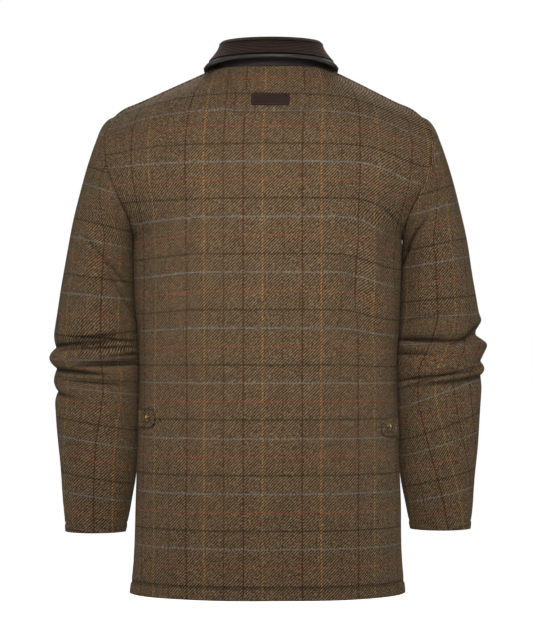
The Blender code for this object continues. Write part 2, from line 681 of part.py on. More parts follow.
def main():
    for old in list(bpy.data.objects):
        bpy.data.objects.remove(old)
    make_back()
    make_front(LEFT, "front_left")
    make_front(RIGHT, "front_right")
    for side, name in ((LEFT, "left"), (RIGHT, "right")):
        make_sleeve(side, f"fore_sleeve_{name}", FORE_SEAM, OUTER_SEAM + 360)
        make_sleeve(side, f"hind_sleeve_{name}", OUTER_SEAM, HIND_SEAM)
        make_sleeve(side, f"under_sleeve_{name}", HIND_SEAM, FORE_SEAM)
    make_collar()
    make_label()
    make_tab(LEFT, "left")
    make_tab(RIGHT, "right")
    make_front_buttons()


if __name__ == "__main__":
    main()
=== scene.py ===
"""Tweed country jacket with a corduroy collar: its cloth, sewing, finishes and stage.

Metres, +Z up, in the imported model's frame. The wearer faces +Y, so the back is towards -Y and the
wearer's right arm is at +X. The tables below are in millimetres.
"""

import math
from collections import namedtuple

import bpy
import numpy as np
from bpy.props import FloatProperty, FloatVectorProperty, PointerProperty
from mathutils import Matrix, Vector


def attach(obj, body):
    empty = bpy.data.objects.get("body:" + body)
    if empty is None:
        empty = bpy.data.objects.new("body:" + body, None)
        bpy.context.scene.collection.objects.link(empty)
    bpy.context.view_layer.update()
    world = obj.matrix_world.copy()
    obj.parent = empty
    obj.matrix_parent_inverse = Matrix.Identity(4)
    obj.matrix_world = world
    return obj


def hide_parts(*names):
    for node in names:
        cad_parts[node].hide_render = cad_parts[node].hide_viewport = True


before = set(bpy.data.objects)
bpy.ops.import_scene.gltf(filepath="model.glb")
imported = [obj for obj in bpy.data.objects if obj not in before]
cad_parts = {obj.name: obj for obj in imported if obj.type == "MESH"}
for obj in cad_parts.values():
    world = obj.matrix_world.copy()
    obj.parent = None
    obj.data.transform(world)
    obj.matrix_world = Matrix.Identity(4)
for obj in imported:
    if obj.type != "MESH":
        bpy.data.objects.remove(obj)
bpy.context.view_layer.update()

bl_info = {
    "name": "Tweed Jacket",
    "version": (1, 0, 0),
    "blender": (4, 5, 0),
    "location": "View3D > Sidebar > Jacket",
    "description": "Dresses the jacket's frame in cloth, corduroy, leather and sewing",
    "category": "Object",
}

MM = 0.001
SEAM_GAP = 0.3
SIDE_SEAM_LAP = 0.12
BACK, FRONT = -1, 1
LEFT, RIGHT = -1, 1
SIDES = {LEFT: "left", RIGHT: "right"}
ROUND = 0.5523


def table(columns, *rows):
    """Rows of values under named columns."""
    row = namedtuple("Row", columns)
    return tuple(row(*values) for values in rows)


# Heights on the centre back line
HEM, UNDERARM, NECK_BACK = -747.0, -236.0, 6.0
NECK_FRONT = -72.0
HEM_TURN_UP, HEM_RAISED = 14.0, 0.8

# Neck opening and shoulder seam
NECK_POINT = np.array([78.0, -6.0, 9.0])
SHOULDER_TIP = np.array([227.0, 2.0, -61.0])
NECK_SHARE, NECK_SCOOP = 0.36, 1.6
SHOULDER_BOW = 0.5

# As it hangs, the neck sits a little to the wearer's right of the hem
LEAN, LEAN_START, LEAN_WIDTH = 4.5, -120.0, 220.0

# One row for each level of the body, measured where it crosses the centre line and the side
BODY = table(
    "height half_width back front",
    (-747, 198.5, 127, 130),
    (-702, 194.5, 124, 128),
    (-615, 192.0, 121, 126),
    (-500, 188.0, 117, 122),
    (-410, 186.5, 120, 122),
    (-325, 192.0, 130, 127),
    (-236, 194.0, 137, 130),
    (-176, 194.0, 141, 132),
    (-115, 194.0, 135, 129),
    (-52, 194.0, 114, 117),
    (6, 194.0, 82, 95),
)
BODY_FULLNESS = 1.14
CLOTH_TO_SIDE = 240

# How the cloth heads into the armhole, from the underarm (rise 0) to the shoulder seam (rise 1)
ARMHOLE_HEADING = table(
    "rise out onward down handle",
    (0.0, 0.00, 1.00, 0.00, 86),
    (0.25, 0.55, 0.80, 0.05, 66),
    (0.5, 0.75, 0.62, 0.15, 60),
    (0.75, 0.85, 0.40, 0.30, 62),
    (1.0, 0.90, 0.03, 0.43, 70),
)
ARMHOLE = table(
    "height half_width",
    (-236, 194),
    (-205, 201),
    (-180, 213),
    (-138, 229),
    (-90, 233),
    (-61, 227),
)
ARMHOLE_MIDDLE, ARMHOLE_HALF_HEIGHT = -148.5, 87.5
ARMHOLE_DEPTH = {BACK: 70.0, FRONT: 64.0}
SHOULDER_ROUNDING = 4.5

# One row for each level cut across the hanging sleeve, from the upper arm to the cuff
SLEEVE = table(
    "height x y half_width half_depth",
    (-262, 243.4, 24, 50.6, 79),
    (-300, 246.5, 28, 54.0, 75),
    (-340, 249.0, 32, 58.5, 71),
    (-370, 250.0, 34, 62.5, 67),
    (-410, 250.5, 37, 65.5, 63),
    (-450, 250.0, 38, 63.5, 60),
    (-500, 249.5, 40, 61.0, 57),
    (-540, 249.0, 42, 58.5, 54),
    (-580, 249.0, 45, 55.0, 51),
    (-620, 251.0, 48, 50.0, 47),
    (-660, 253.5, 52, 44.0, 43),
)
ARM_DIRECTION = np.array([0.08, 0.0, -1.0])

# Seams of the three-piece sleeve, in degrees from its outer side towards the back
OUTER_SEAM, HIND_SEAM, FORE_SEAM = 0.0, 144.0, 252.0

# Turned-up cuff, the creased stretch at the elbow, and the width below which a fold is sharp
CUFF_TURN_UP, CUFF_RAISED = 10.0, 0.7
ELBOW_TOP, ELBOW_LOW = -345, -475
SHARP_FOLD = 10

# How much lower each cuff hangs
SLEEVE_DROP = {LEFT: 4.0, RIGHT: 0.0}

# Sleeve folds, in degrees from the outer side towards the back. A negative depth is a ridge.
SLEEVE_FOLD_COLUMNS = "height around spread tilt width depth"
SLEEVE_FOLDS = {
    LEFT: table(
        SLEEVE_FOLD_COLUMNS,
        (-391, 40, 88, 3, 9, 9.0),
        (-427, 25, 80, -3, 9, 8.0),
        (-460, 10, 60, -6, 9, 6.0),
        (-415, 120, 60, 2, 8, 4.5),
        (-376, 110, 60, 5, 8, 4.0),
        (-409, 5, 60, 0, 14, -3.5),
        (-383, 112, 54, -4, 5, 5.0),
        (-395, 95, 74, 2, 5, 6.0),
        (-431, 62, 50, -2, 5, 5.0),
        (-445, 88, 54, -4, 6, 4.6),
        (-405, 138, 36, 2, 5, 4.0),
        (-420, 114, 60, 1, 4, 7.0),
        (-272, 108, 48, -42, 8, 4.6),
        (-318, 132, 34, -60, 7, 3.8),
        (-252, 78, 44, -38, 12, -3.0),
        (-520, 92, 60, 20, 18, 1.8),
        (-590, 70, 60, -14, 16, 1.5),
        (-388, 268, 70, 5, 7, 4.6),
        (-412, 250, 60, -4, 6, 3.8),
        (-436, 286, 60, 3, 7, 3.4),
        (-330, 280, 50, 30, 12, 2.6),
    ),
    RIGHT: table(
        SLEEVE_FOLD_COLUMNS,
        (-372, 10, 45, 4, 10, 10.0),
        (-384, 95, 70, 2, 8, 5.0),
        (-414, 0, 50, 0, 8, 5.0),
        (-440, 45, 95, -5, 9, 7.5),
        (-390, 5, 50, 0, 14, -4.0),
        (-426, 0, 50, 0, 12, -3.0),
        (-376, 44, 38, -18, 7, 8.0),
        (-385, 128, 58, 2, 5, 5.0),
        (-404, 138, 40, 0, 5, 4.0),
        (-436, 104, 74, -6, 5, 6.0),
        (-352, 120, 55, -8, 9, 2.4),
        (-252, 148, 50, -44, 9, 7.5),
        (-300, 96, 50, 26, 16, 1.8),
        (-530, 84, 60, -22, 18, 2.0),
        (-572, 110, 50, 16, 14, 1.6),
        (-384, 262, 70, -5, 7, 4.4),
        (-408, 288, 60, 4, 6, 3.6),
        (-434, 255, 60, -3, 7, 3.6),
        (-322, 276, 50, -28, 12, 2.6),
    ),
}

# Hanging folds of the body, as x and height at both ends and at the bend. A negative depth is a ridge.
BODY_FOLD_COLUMNS = "top_x top bend_x bend low_x low width depth"
BODY_FOLDS = {
    BACK: table(
        BODY_FOLD_COLUMNS,
        (112, -225, 124, -310, 164, -400, 15, 6.5),
        (146, -225, 152, -300, 176, -370, 18, -3.0),
        (170, -205, 172, -270, 160, -335, 13, 4.0),
        (-164, -215, -168, -300, -164, -390, 15, 4.5),
        (-120, -240, -134, -330, -150, -420, 18, 3.0),
        (-123, -430, -122, -520, -118, -610, 14, 1.8),
        (141, -540, 140, -600, 136, -700, 14, 2.0),
        (150, -395, 151, -440, 146, -505, 13, -2.0),
        (-52, -560, -46, -640, -50, -735, 22, 1.6),
        (60, -500, 64, -600, 58, -735, 26, 1.4),
    ),
    FRONT: table(
        BODY_FOLD_COLUMNS,
        (128, -215, 132, -310, 156, -410, 15, 5.0),
        (-136, -210, -138, -300, -160, -395, 15, 4.6),
        (84, -420, 88, -520, 84, -640, 18, 2.2),
        (-92, -440, -94, -540, -90, -660, 18, 2.4),
        (150, -520, 148, -600, 142, -720, 15, 2.0),
        (-146, -540, -146, -620, -140, -725, 15, 2.0),
    ),
}

# Collar: a leather under collar and a corduroy upper collar, rolled over together
COLLAR_FOLD, COLLAR_EDGE = table(
    "half_width back front centre height side_drop front_drop front_end",
    (69.0, 68.0, 92.0, -3.0, 46.1, 0.0, 89.0, 4.0),
    (93.0, 93.0, 119.0, -3.0, 19.0, 6.0, 100.0, 24.0),
)
COLLAR_END = 176 / 180
COLLAR_ROLL = 5.0

# Across the collar: where its roll starts and ends, the edge of the leather, and the shares of roll and fall
ROLL_START, ROLL_END, LEATHER_END = 0.8, 1.2, 2.08
ROLL_SHARE, FALL_SHARE = 0.4, 0.8
FALL_LENGTH, LEATHER_SHOWS = 40.0, 7.0

# Trimmings
HANG_STRIP = {"width": 112.0, "height": 31.0, "middle": -47.0, "thickness": 1.4}
LABEL = {"width": 54.0, "height": 17.5, "middle": -44.5, "corner": 3.5, "thickness": 1.6}
TAB = {"middle": {LEFT: -494.0, RIGHT: -507.0}, "height": 27.0, "tip_x": 160.0, "thickness": 2.0}
TAB_CAP = {"x": 170.5, "radius": 7.5, "height": 3.0}
TAB_STUD = {"x": 153.5, "radius": 2.6, "height": 2.6, "drop": 2.0}
FRONT_BUTTON = {"radius": 11.0, "height": 4.2, "heights": (-118.0, -240.0, -362.0, -484.0)}
FRONT_LAP = 22.0
LAP_SUNK = 2.7

# Sewing: how far a row lies from its edge and stands off the cloth, and the pitch of its stitches
HEM_ROW, CUFF_ROW = 12.0, 8.0
ROW_LIFT, LOW_ROW_LIFT = 0.1, 0.05
HEM_PITCH, STRIP_PITCH, LABEL_PITCH, TAB_PITCH, BUTTON_PITCH = 5.5, 3.2, 2.9, 3.0, 0.7

# Where the check falls: the first line of each set, in millimetres of cloth
CHECK_WARP_START, CHECK_WEFT_START = 8.0, 132.4
SLEEVE_WARP_SHIFT = {LEFT: 20.0, RIGHT: -10.0}
SLEEVE_WEFT_SHIFT = {LEFT: 33.0, RIGHT: -16.0}

# How the check lies on each sleeve: the level lines' slant, the cloth taken up in the creases above,
# and the shift of the upright lines, in millimetres
SLEEVE_CHECK_COLUMNS = "height slant taken_up shifted"
SLEEVE_CHECK = {
    LEFT: table(
        SLEEVE_CHECK_COLUMNS,
        (-660, 0.12, -23, 42),
        (-600, 0.15, -23, 34),
        (-545, 0.17, -23, 24),
        (-498, 0.17, -22, 12),
        (-454, 0.16, -20, 2),
        (-432, 0.09, -4, 0),
        (-411, 0.03, 14, 0),
        (-385, 0.05, 8, 0),
        (-325, 0.09, 0, 0),
        (-250, 0.20, 0, 0),
        (-165, 0.33, 0, 0),
        (-60, 0.45, 0, 0),
    ),
    RIGHT: table(
        SLEEVE_CHECK_COLUMNS,
        (-660, 0.20, -50, -48),
        (-608, 0.24, -50, -31),
        (-537, 0.32, -46, -2),
        (-458, 0.37, -45, 24),
        (-430, 0.28, -44, 26),
        (-388, 0.08, -40, 12),
        (-366, 0.06, -14, 4),
        (-345, 0.07, 0, 0),
        (-325, 0.09, 0, 0),
        (-250, 0.20, 0, 0),
        (-165, 0.33, 0, 0),
        (-60, 0.45, 0, 0),
    ),
}


# Sizes and colours


def length(name, default, text):
    return FloatProperty(name=name, description=text, default=default * MM, min=0, unit="LENGTH", precision=5)


def colour(name, default, text):
    return FloatVectorProperty(
        name=name, description=text, default=default, min=0, max=1, size=3, subtype="COLOR"
    )


class JacketSizes(bpy.types.PropertyGroup):
    """Sizes of the cloth, the sewing and the trimmings."""

    tweed: length("Tweed", 2.2, "Thickness of the body and sleeve cloth")
    corduroy: length("Corduroy", 1.6, "Thickness of the upper collar, without its ribs")
    leather: length("Leather", 1.4, "Thickness of the under collar")
    yarn: length("Yarn spacing", 1.12, "Distance from one yarn of the twill to the next")
    check_width: length("Check width", 83.0, "Repeat of the check across the cloth")
    check_height: length("Check height", 77.7, "Repeat of the check along the cloth")
    rib: length("Corduroy rib", 3.3, "Distance from one corduroy rib to the next")
    rib_height: length("Rib height", 0.85, "Height of a corduroy rib")
    stitch: length("Stitch", 2.6, "Length of one stitch of the sewing")
    thread: length("Thread", 0.55, "Thickness of the sewing thread")
    folds: FloatProperty(name="Folds", description="How deep the folds hang", default=1.0, min=0, max=1.5)


class JacketColours(bpy.types.PropertyGroup):
    """Colours of the finishes."""

    warp: colour("Warp", (0.280, 0.180, 0.091), "Yarn that runs down the cloth")
    weft: colour("Weft", (0.048, 0.031, 0.017), "Yarn that runs across the cloth")
    fleck: colour("Fleck", (0.30, 0.22, 0.13), "Pale flecks in the yarn")
    shade: colour("Shade", (0.050, 0.030, 0.016), "Dark flecks in the yarn")
    gold: colour("Gold line", (0.50, 0.265, 0.085), "Upright line of the check")
    oxblood: colour("Oxblood line", (0.150, 0.034, 0.013), "Upright line of the check")
    russet: colour("Russet line", (0.165, 0.065, 0.028), "Faint upright line of the check")
    blue: colour("Blue line", (0.120, 0.200, 0.226), "Level line of the check")
    rust: colour("Rust line", (0.240, 0.034, 0.012), "Level line of the check")
    bottle: colour("Bottle line", (0.004, 0.011, 0.008), "Level line of the check")
    corduroy: colour("Corduroy", (0.044, 0.026, 0.021), "Pile on the ribs")
    leather: colour("Leather", (0.056, 0.047, 0.043), "Under collar")
    label: colour("Label", (0.042, 0.023, 0.020), "Leather patch")
    brass: colour("Brass", (0.60, 0.42, 0.20), "Caps and studs of the tabs")
    horn: colour("Horn", (0.070, 0.040, 0.022), "Front buttons")
    sewing: colour("Sewing", (0.072, 0.048, 0.028), "Thread on the tweed")
    floor: colour("Floor", (0.92, 0.92, 0.91), "Plain floor")


def sizes():
    return bpy.context.scene.jacket_sizes


def colours():
    return bpy.context.scene.jacket_colours


# Curves and surfaces of the jacket, in millimetres


def column(rows, name):
    return np.array([getattr(row, name) for row in rows], float)


def through(knots, values, at):
    """Smooth curve through a table: cubic spans with the slopes taken from the neighbours."""
    order = np.argsort(knots)
    knots, values = np.asarray(knots, float)[order], np.asarray(values, float)[order]
    slopes = np.gradient(values, knots)
    at = np.clip(at, knots[0], knots[-1])
    i = np.clip(np.searchsorted(knots, at) - 1, 0, len(knots) - 2)
    span = knots[i + 1] - knots[i]
    s = (at - knots[i]) / span
    before = (1 + 2 * s) * (1 - s) ** 2 * values[i] + s * (1 - s) ** 2 * span * slopes[i]
    after = s * s * (3 - 2 * s) * values[i + 1] + s * s * (s - 1) * span * slopes[i + 1]
    return before + after


def unit(vectors):
    return vectors / np.maximum(np.linalg.norm(vectors, axis=-1, keepdims=True), 1e-9)


def stack(x, y, z):
    return np.stack(np.broadcast_arrays(x, y, z), axis=-1).astype(float)


def smoothstep(low, high, value):
    s = np.clip((value - low) / (high - low), 0, 1)
    return s * s * (3 - 2 * s)


def crease(distance):
    """Trough of a fold with the cloth pushed up a little on both sides."""
    return np.exp(-(distance**2)) - 0.28 * np.exp(-(((np.abs(distance) - 1.8) / 0.8) ** 2))


def notch(distance):
    """Sharp crease between two round swellings of the cloth."""
    sunk = np.exp(-1.5 * (distance**2 + 0.015) ** 0.5) * 1.15
    return sunk - 0.1 * np.exp(-(((np.abs(distance) - 1.7) / 0.85) ** 2))


def leaned(points):
    """The slight shift of the neck towards the wearer's right."""
    points = np.array(points, float)
    near_neck = 1 - smoothstep(0.4 * LEAN_WIDTH, LEAN_WIDTH, np.abs(points[..., 0]))
    points[..., 0] += LEAN * smoothstep(LEAN_START, 0, points[..., 2]) * near_neck
    return points


def armhole_edge(half, rise):
    """Armhole line of one half, from the underarm (rise 0) round to the shoulder tip (rise 1)."""
    turn = math.pi * (1 - rise)
    z = ARMHOLE_MIDDLE + ARMHOLE_HALF_HEIGHT * np.cos(turn)
    x = through(column(ARMHOLE, "height"), column(ARMHOLE, "half_width"), z)
    y = half * ARMHOLE_DEPTH[half] * np.sin(turn) + SHOULDER_TIP[1] * rise**6
    return stack(x, y, z)


def neckline(half, angle):
    """Neck seam from the centre line (angle 0) to the neck point (a quarter turn)."""
    at_back = (-column(BODY, "back")[-1], NECK_BACK)
    at_front = (column(BODY, "front")[-1], NECK_FRONT)
    centre = at_back if half == BACK else at_front
    x = NECK_POINT[0] * np.sin(angle)
    y = NECK_POINT[1] + (centre[0] - NECK_POINT[1]) * np.cos(angle)
    z = NECK_POINT[2] + (centre[1] - NECK_POINT[2]) * np.maximum(np.cos(angle), 0) ** NECK_SCOOP
    return stack(x, y, z)


def top_edge(half, across):
    """Neck seam, then shoulder seam, as across goes from the centre line to the shoulder tip."""
    on_neck = neckline(half, np.clip(across / NECK_SHARE, 0, 1) * math.pi / 2)
    s = np.clip((across - NECK_SHARE) / (1 - NECK_SHARE), 0, 1.2)[..., None]
    on_seam = NECK_POINT + (SHOULDER_TIP - NECK_POINT) * s
    on_seam = on_seam + np.array([0, 0, SHOULDER_BOW]) * 4 * s * (1 - s)
    return np.where((across < NECK_SHARE)[..., None], on_neck, on_seam)


def torso(half, across, height):
    """Outer side of the cloth on the wearer's right, from the centre line (across 0) to the side (1)."""
    across, height = np.broadcast_arrays(np.asarray(across, float), np.asarray(height, float))
    rise = np.clip((height - UNDERARM) / (NECK_BACK - UNDERARM), 0, 1)
    depth = through(column(BODY, "height"), column(BODY, "back" if half == BACK else "front"), height)
    half_width = through(column(BODY, "height"), column(BODY, "half_width"), np.minimum(height, UNDERARM))
    centre_z = height if half == BACK else np.minimum(height, UNDERARM + (NECK_FRONT - UNDERARM) * rise)
    centre = stack(0 * height, half * depth, centre_z)

    low = (height <= UNDERARM)[..., None]
    side = np.where(low, stack(half_width, 0 * height, height), armhole_edge(half, rise))
    rises = column(ARMHOLE_HEADING, "rise")
    out, onward, down, handle = (
        through(rises, column(ARMHOLE_HEADING, name), rise) for name in ("out", "onward", "down", "handle")
    )
    heading = unit(stack(out, -half * onward, -down))
    handle = np.where(height <= UNDERARM, ROUND * BODY_FULLNESS * depth, handle)
    near_centre = centre + stack(ROUND * BODY_FULLNESS * side[..., 0], 0, (side[..., 2] - centre_z) * 0.1)
    near_side = side - heading * handle[..., None]

    q = across[..., None]
    row = (1 - q) ** 3 * centre + 3 * (1 - q) ** 2 * q * near_centre
    row = row + 3 * (1 - q) * q**2 * near_side + q**3 * side
    share = (rise**SHOULDER_ROUNDING)[..., None]
    towards_tip = smoothstep(NECK_SHARE, 1, across)[..., None]
    top = top_edge(half, across) + (side - SHOULDER_TIP) * towards_tip
    return row * (1 - share) + top * share


def torso_normals(half, across, height):
    """Outward directions of the torso cloth, from small steps along and across it."""
    step_q, step_h = 0.004, 1.0
    along = torso(half, across + step_q, height) - torso(half, across - step_q, height)
    upper = np.minimum(height, NECK_BACK - 0.1)
    upper = np.where(np.abs(upper - UNDERARM) < 0.01, UNDERARM - step_h, upper)
    up = torso(half, across, upper) - torso(half, across, upper - step_h)
    normals = unit(np.cross(along, up)) * -half
    seam = unit(SHOULDER_TIP - NECK_POINT)
    on_shoulder = unit(np.cross(seam, np.array([0.0, -1.0, 0.0])))
    near_seam = (height >= NECK_BACK - 1) & (across > NECK_SHARE - 0.01)
    return np.where(near_seam[..., None], on_shoulder, normals)


def body_fold_depth(half, points):
    """How far the hanging folds press the cloth in."""
    x, z = points[..., 0], points[..., 2]
    depth = np.zeros(points.shape[:-1])
    for f in BODY_FOLDS[half]:
        line = through((f.low, f.bend, f.top), (f.low_x, f.bend_x, f.top_x), z)
        reach = smoothstep(f.low, f.low + 60, z) * (1 - smoothstep(f.top - 60, f.top, z))
        depth += f.depth * reach * crease((x - line) / f.width)
    uneven = 0.5 * np.sin(x / 17 + z / 61) * np.sin(z / 29 + 1.3) + 0.6 * np.sin(x / 39 - z / 97 + 0.7)
    hem_wave = 1.5 * np.sin(x / 24 + 0.8) * (1 - smoothstep(HEM, HEM + 150, z))
    shown = smoothstep(HEM, HEM + 40, z) * (1 - smoothstep(-70, -10, z))
    return (depth + uneven * shown + hem_wave) * sizes().folds


def sleeve_ring(around, height):
    """Hanging sleeve on the wearer's right. around 0 is its outer side and a quarter turn its back."""
    heights = column(SLEEVE, "height")
    x, y, half_width, half_depth = (
        through(heights, column(SLEEVE, name), height) for name in ("x", "y", "half_width", "half_depth")
    )
    return stack(x + half_width * np.cos(around), y - half_depth * np.sin(around), height)


def armhole_loop(around):
    """Armhole point, the torso cloth's heading there and its outward direction, all round the sleeve."""
    at_back = around <= math.pi
    rise = np.where(at_back, 1 - around / math.pi, around / math.pi - 1)
    height = UNDERARM + rise * (NECK_BACK - UNDERARM)
    found = []
    for half in (BACK, FRONT):
        one = np.ones_like(height)
        heading = unit(torso(half, one, height) - torso(half, one - 0.01, height))
        found.append((torso(half, one, height), heading, torso_normals(half, one, height)))
    return [np.where(at_back[..., None], b, f) for b, f in zip(*found)]


def sleeve(around, along):
    """Sleeve surface: along 0 to 1 is the sleeve head, and below -1 it is a height on the hanging sleeve."""
    around, along = np.broadcast_arrays(np.asarray(around, float) % (2 * math.pi), np.asarray(along, float))
    edge, heading, outward = armhole_loop(around)
    low = (np.sin(around / 2) ** 2)[..., None]
    away = unit(heading * (1 - low) + outward * low)
    start = edge + away * (SEAM_GAP + 0.05 * low)
    top_ring = SLEEVE[0].height
    end = sleeve_ring(around, np.full(around.shape, float(top_ring)))
    distance = np.linalg.norm(end - start, axis=-1, keepdims=True)
    leave = unit(heading * (1 - low) + (ARM_DIRECTION + 0.35 * outward) * low) * distance * (0.37 + 0.4 * low)
    arrive = unit(sleeve_ring(around, np.full(around.shape, top_ring - 6.0)) - end) * distance * 0.9
    s = np.clip(along, 0, 1)[..., None]
    head = (1 + 2 * s) * (1 - s) ** 2 * start + s * (1 - s) ** 2 * leave
    head = head + s * s * (3 - 2 * s) * end + s * s * (s - 1) * arrive
    return np.where((along >= 0)[..., None], head, sleeve_ring(around, np.minimum(along, top_ring)))


def sleeve_normals(around, along):
    turn = sleeve(around + 0.02, along) - sleeve(around - 0.02, along)
    step = np.where(along >= 0, 0.02, 2.0)
    upper = np.where((along >= 0) & (along < 0.02), along, np.where(along >= 0, along - step, along + step))
    upper = np.where((along < 0) & (upper > SLEEVE[0].height), along, upper)
    lower = np.where(along >= 0, np.minimum(along + step, 1), along - step)
    lower = np.where((along < 0) & (lower < SLEEVE[-1].height), along, lower)
    normals = unit(np.cross(turn, sleeve(around, lower) - sleeve(around, upper)))
    _, _, seam_normals = armhole_loop(np.asarray(around, float) % (2 * math.pi))
    close = (along >= 0) * (1 - smoothstep(0.0, 0.06, along))
    share = close * (1 - smoothstep(0.35, 0.75, np.sin(around / 2) ** 2))
    return unit(normals * (1 - share[..., None]) + seam_normals * share[..., None])


def turn_from(around, seam):
    """Angle from a line down the sleeve, from -180 to 180 degrees."""
    return (np.degrees(around) - seam + 180) % 360 - 180


def is_sharp(fold):
    """Narrow folds are pressed to a sharp crease. Wide ones and ridges stay round."""
    return fold.depth > 0 and fold.width < SHARP_FOLD


def sleeve_fold_depth(side, around, points, along):
    """How far the folds of the arm press the sleeve in."""
    z = points[..., 2]
    depth = np.zeros(z.shape)
    for f in SLEEVE_FOLDS[side]:
        turn = turn_from(around, f.around)
        line = f.height + f.tilt * turn / 45
        window = np.clip(1 - (turn / f.spread) ** 2, 0, 1) ** 1.5
        shape = notch if is_sharp(f) else crease
        depth += f.depth * window * shape((z - line) / f.width)
    uneven = 0.6 * np.sin(3 * around + z / 41 + side) * np.sin(z / 27 + 0.4)
    clear = np.where(along < 0, 1.0, smoothstep(0.35, 0.95, along))
    clear = clear * smoothstep(SLEEVE[-1].height, SLEEVE[-1].height + 40, z)
    by_body = smoothstep(0.8, 0.97, np.sin(around / 2) ** 2) * smoothstep(-390, -350, z)
    depth = (depth + uneven) * clear
    return np.where(depth > 0, depth, depth * (1 - by_body)) * sizes().folds


def sleeve_crease_shade(side, around, points):
    """Painted shade in the sharp creases of the arm, from 0 to 1, strongest a little below each crease line.
    """
    z = points[..., 2]
    # pressed adds up the painted shade of every sharp crease
    pressed = np.zeros(z.shape)
    for f in filter(is_sharp, SLEEVE_FOLDS[side]):
        turn = turn_from(around, f.around)
        window = np.clip(1 - (turn / f.spread) ** 2, 0, 1)
        away = (z - f.height - f.tilt * turn / 45) / f.width
        pressed += f.depth / 4.6 * window * np.exp(-((2.8 * (away - 0.12)) ** 2))
    return np.clip(pressed, 0, 1)


def mirrored(points, side):
    return points * np.array([side, 1, 1])


# Cloth pieces


def linked(name, data):
    """New object in the scene."""
    made = bpy.data.objects.new(name, data)
    bpy.context.scene.collection.objects.link(made)
    return made


def finished(name, mesh, finish):
    """Object of a finished piece, smooth but for its true edges, with its finish on it."""
    mesh.materials.clear()
    mesh.materials.append(finish)
    mesh.shade_smooth()
    mesh.set_sharp_from_angle(angle=math.radians(50))
    return linked(name, mesh)


def place(made, slot, *nodes):
    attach(made, "root")
    if nodes:
        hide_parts(*nodes)
    return made


def signed_volume(points, quads):
    corners = [points[quads[:, k]] for k in range(4)]
    first = np.einsum("ij,ij->i", corners[0], np.cross(corners[1], corners[2]))
    second = np.einsum("ij,ij->i", corners[0], np.cross(corners[2], corners[3]))
    return (first + second).sum() / 6


def cloth_wall(name, outer, inner, cloth, finish, around=False):
    """Closed wall between two equal grids of points, with its place on the cloth as its UV map.

    cloth holds the millimetres across and along the cloth at each point. around joins the last column
    to the first, and then cloth has one column more.
    """
    rows, columns = outer.shape[:2]
    points = np.concatenate([leaned(outer).reshape(-1, 3), leaned(inner).reshape(-1, 3)]) * MM
    last = columns if around else columns - 1

    def quads(r, c):
        """Corners of the outer faces, as rows and columns."""
        r, c = (grid.ravel() for grid in np.meshgrid(r, c, indexing="ij"))
        return np.stack([r, r, r + 1, r + 1], -1), np.stack([c, c + 1, c + 1, c], -1)

    def index(r, c, layer):
        return layer * rows * columns + r * columns + c % columns

    faces, maps = [], []

    def keep(face, r, c, turn):
        faces.append(face[:, ::turn])
        maps.append(cloth[r, c][:, ::turn])

    r, c = quads(np.arange(rows - 1), np.arange(last))
    keep(index(r, c, 0), r, c, 1)
    keep(index(r, c, 1), r, c, -1)
    layers = np.array([[0, 0, 1, 1]])
    for row, turn in ((0, -1), (rows - 1, 1)):
        c = np.arange(last)
        c = np.stack([c, c + 1, c + 1, c], -1)
        r = np.full_like(c, row)
        keep(index(r, c, layers), r, c, turn)
    if not around:
        for edge, turn in ((0, 1), (columns - 1, -1)):
            r = np.arange(rows - 1)
            r = np.stack([r, r + 1, r + 1, r], -1)
            c = np.full_like(r, edge)
            keep(index(r, c, layers), r, c, turn)
    faces, maps = np.concatenate(faces), np.concatenate(maps)
    if signed_volume(points, faces) < 0:
        faces, maps = faces[:, ::-1], maps[:, ::-1]
    mesh = bpy.data.meshes.new(name)
    mesh.from_pydata(points.tolist(), [], faces.tolist())
    mesh.uv_layers.new(name="cloth").data.foreach_set("uv", (maps * MM).ravel().astype(np.float32))
    return finished(name, mesh, finish)


def mark(made, name, values):
    """Keep a value for each point of a cloth wall, the same on both its faces."""
    kept = made.data.attributes.new(name, "FLOAT", "POINT")
    both = np.concatenate([values.ravel(), values.ravel()])
    kept.data.foreach_set("value", both.astype(np.float32))


def run_length(points, axis):
    """Distance along the grid's rows or columns from their first point."""
    steps = np.linalg.norm(np.diff(points, axis=axis), axis=-1)
    start = np.zeros_like(np.take(steps, [0], axis=axis))
    return np.concatenate([start, np.cumsum(steps, axis=axis)], axis=axis)


def lifted(surface, lift):
    """Points of a surface moved out along its outward directions."""
    points, normals = surface
    return points + normals * lift


def half_columns():
    """Steps from the centre line to the side, closer together at the seam."""
    neck = np.linspace(0, NECK_SHARE, 27)
    shoulder = np.linspace(NECK_SHARE, 0.965, 42)[1:]
    return np.concatenate([neck, shoulder, [0.976, 0.985, 0.991, 0.9955, 0.9985, 1.0]])


def body_rows():
    low = np.linspace(HEM, UNDERARM, 118)
    low = np.sort(np.append(low, [HEM + 1.2, HEM + 11.5, HEM + 14.5, HEM + 16.5, HEM + 18.5]))
    rise = np.concatenate([np.linspace(0, 0.97, 56)[1:], [0.98, 0.988, 0.994, 0.998, 1.0]])
    return np.concatenate([low, UNDERARM + rise * (NECK_BACK - UNDERARM)])


def shoulder_rounded(points):
    """Points near the shoulder tip, moved so that it is rounded over into the sleeve head."""
    side = np.where(points[..., 0] < 0, -1.0, 1.0)
    from_tip = np.linalg.norm(points - stack(side, 1, 1) * SHOULDER_TIP, axis=-1)
    out = 1.2 * np.exp(-(((from_tip - 27) / 12) ** 2)) - 2.6 * np.exp(-((from_tip / 11) ** 2))
    return points + stack(0.64 * side, 0.0, 0.77) * out[..., None]


def seam_roll(distance):
    """How the cloth rolls in where it is sewn to the next piece."""
    return 0.5 * np.exp(-((distance / 2.4) ** 2))


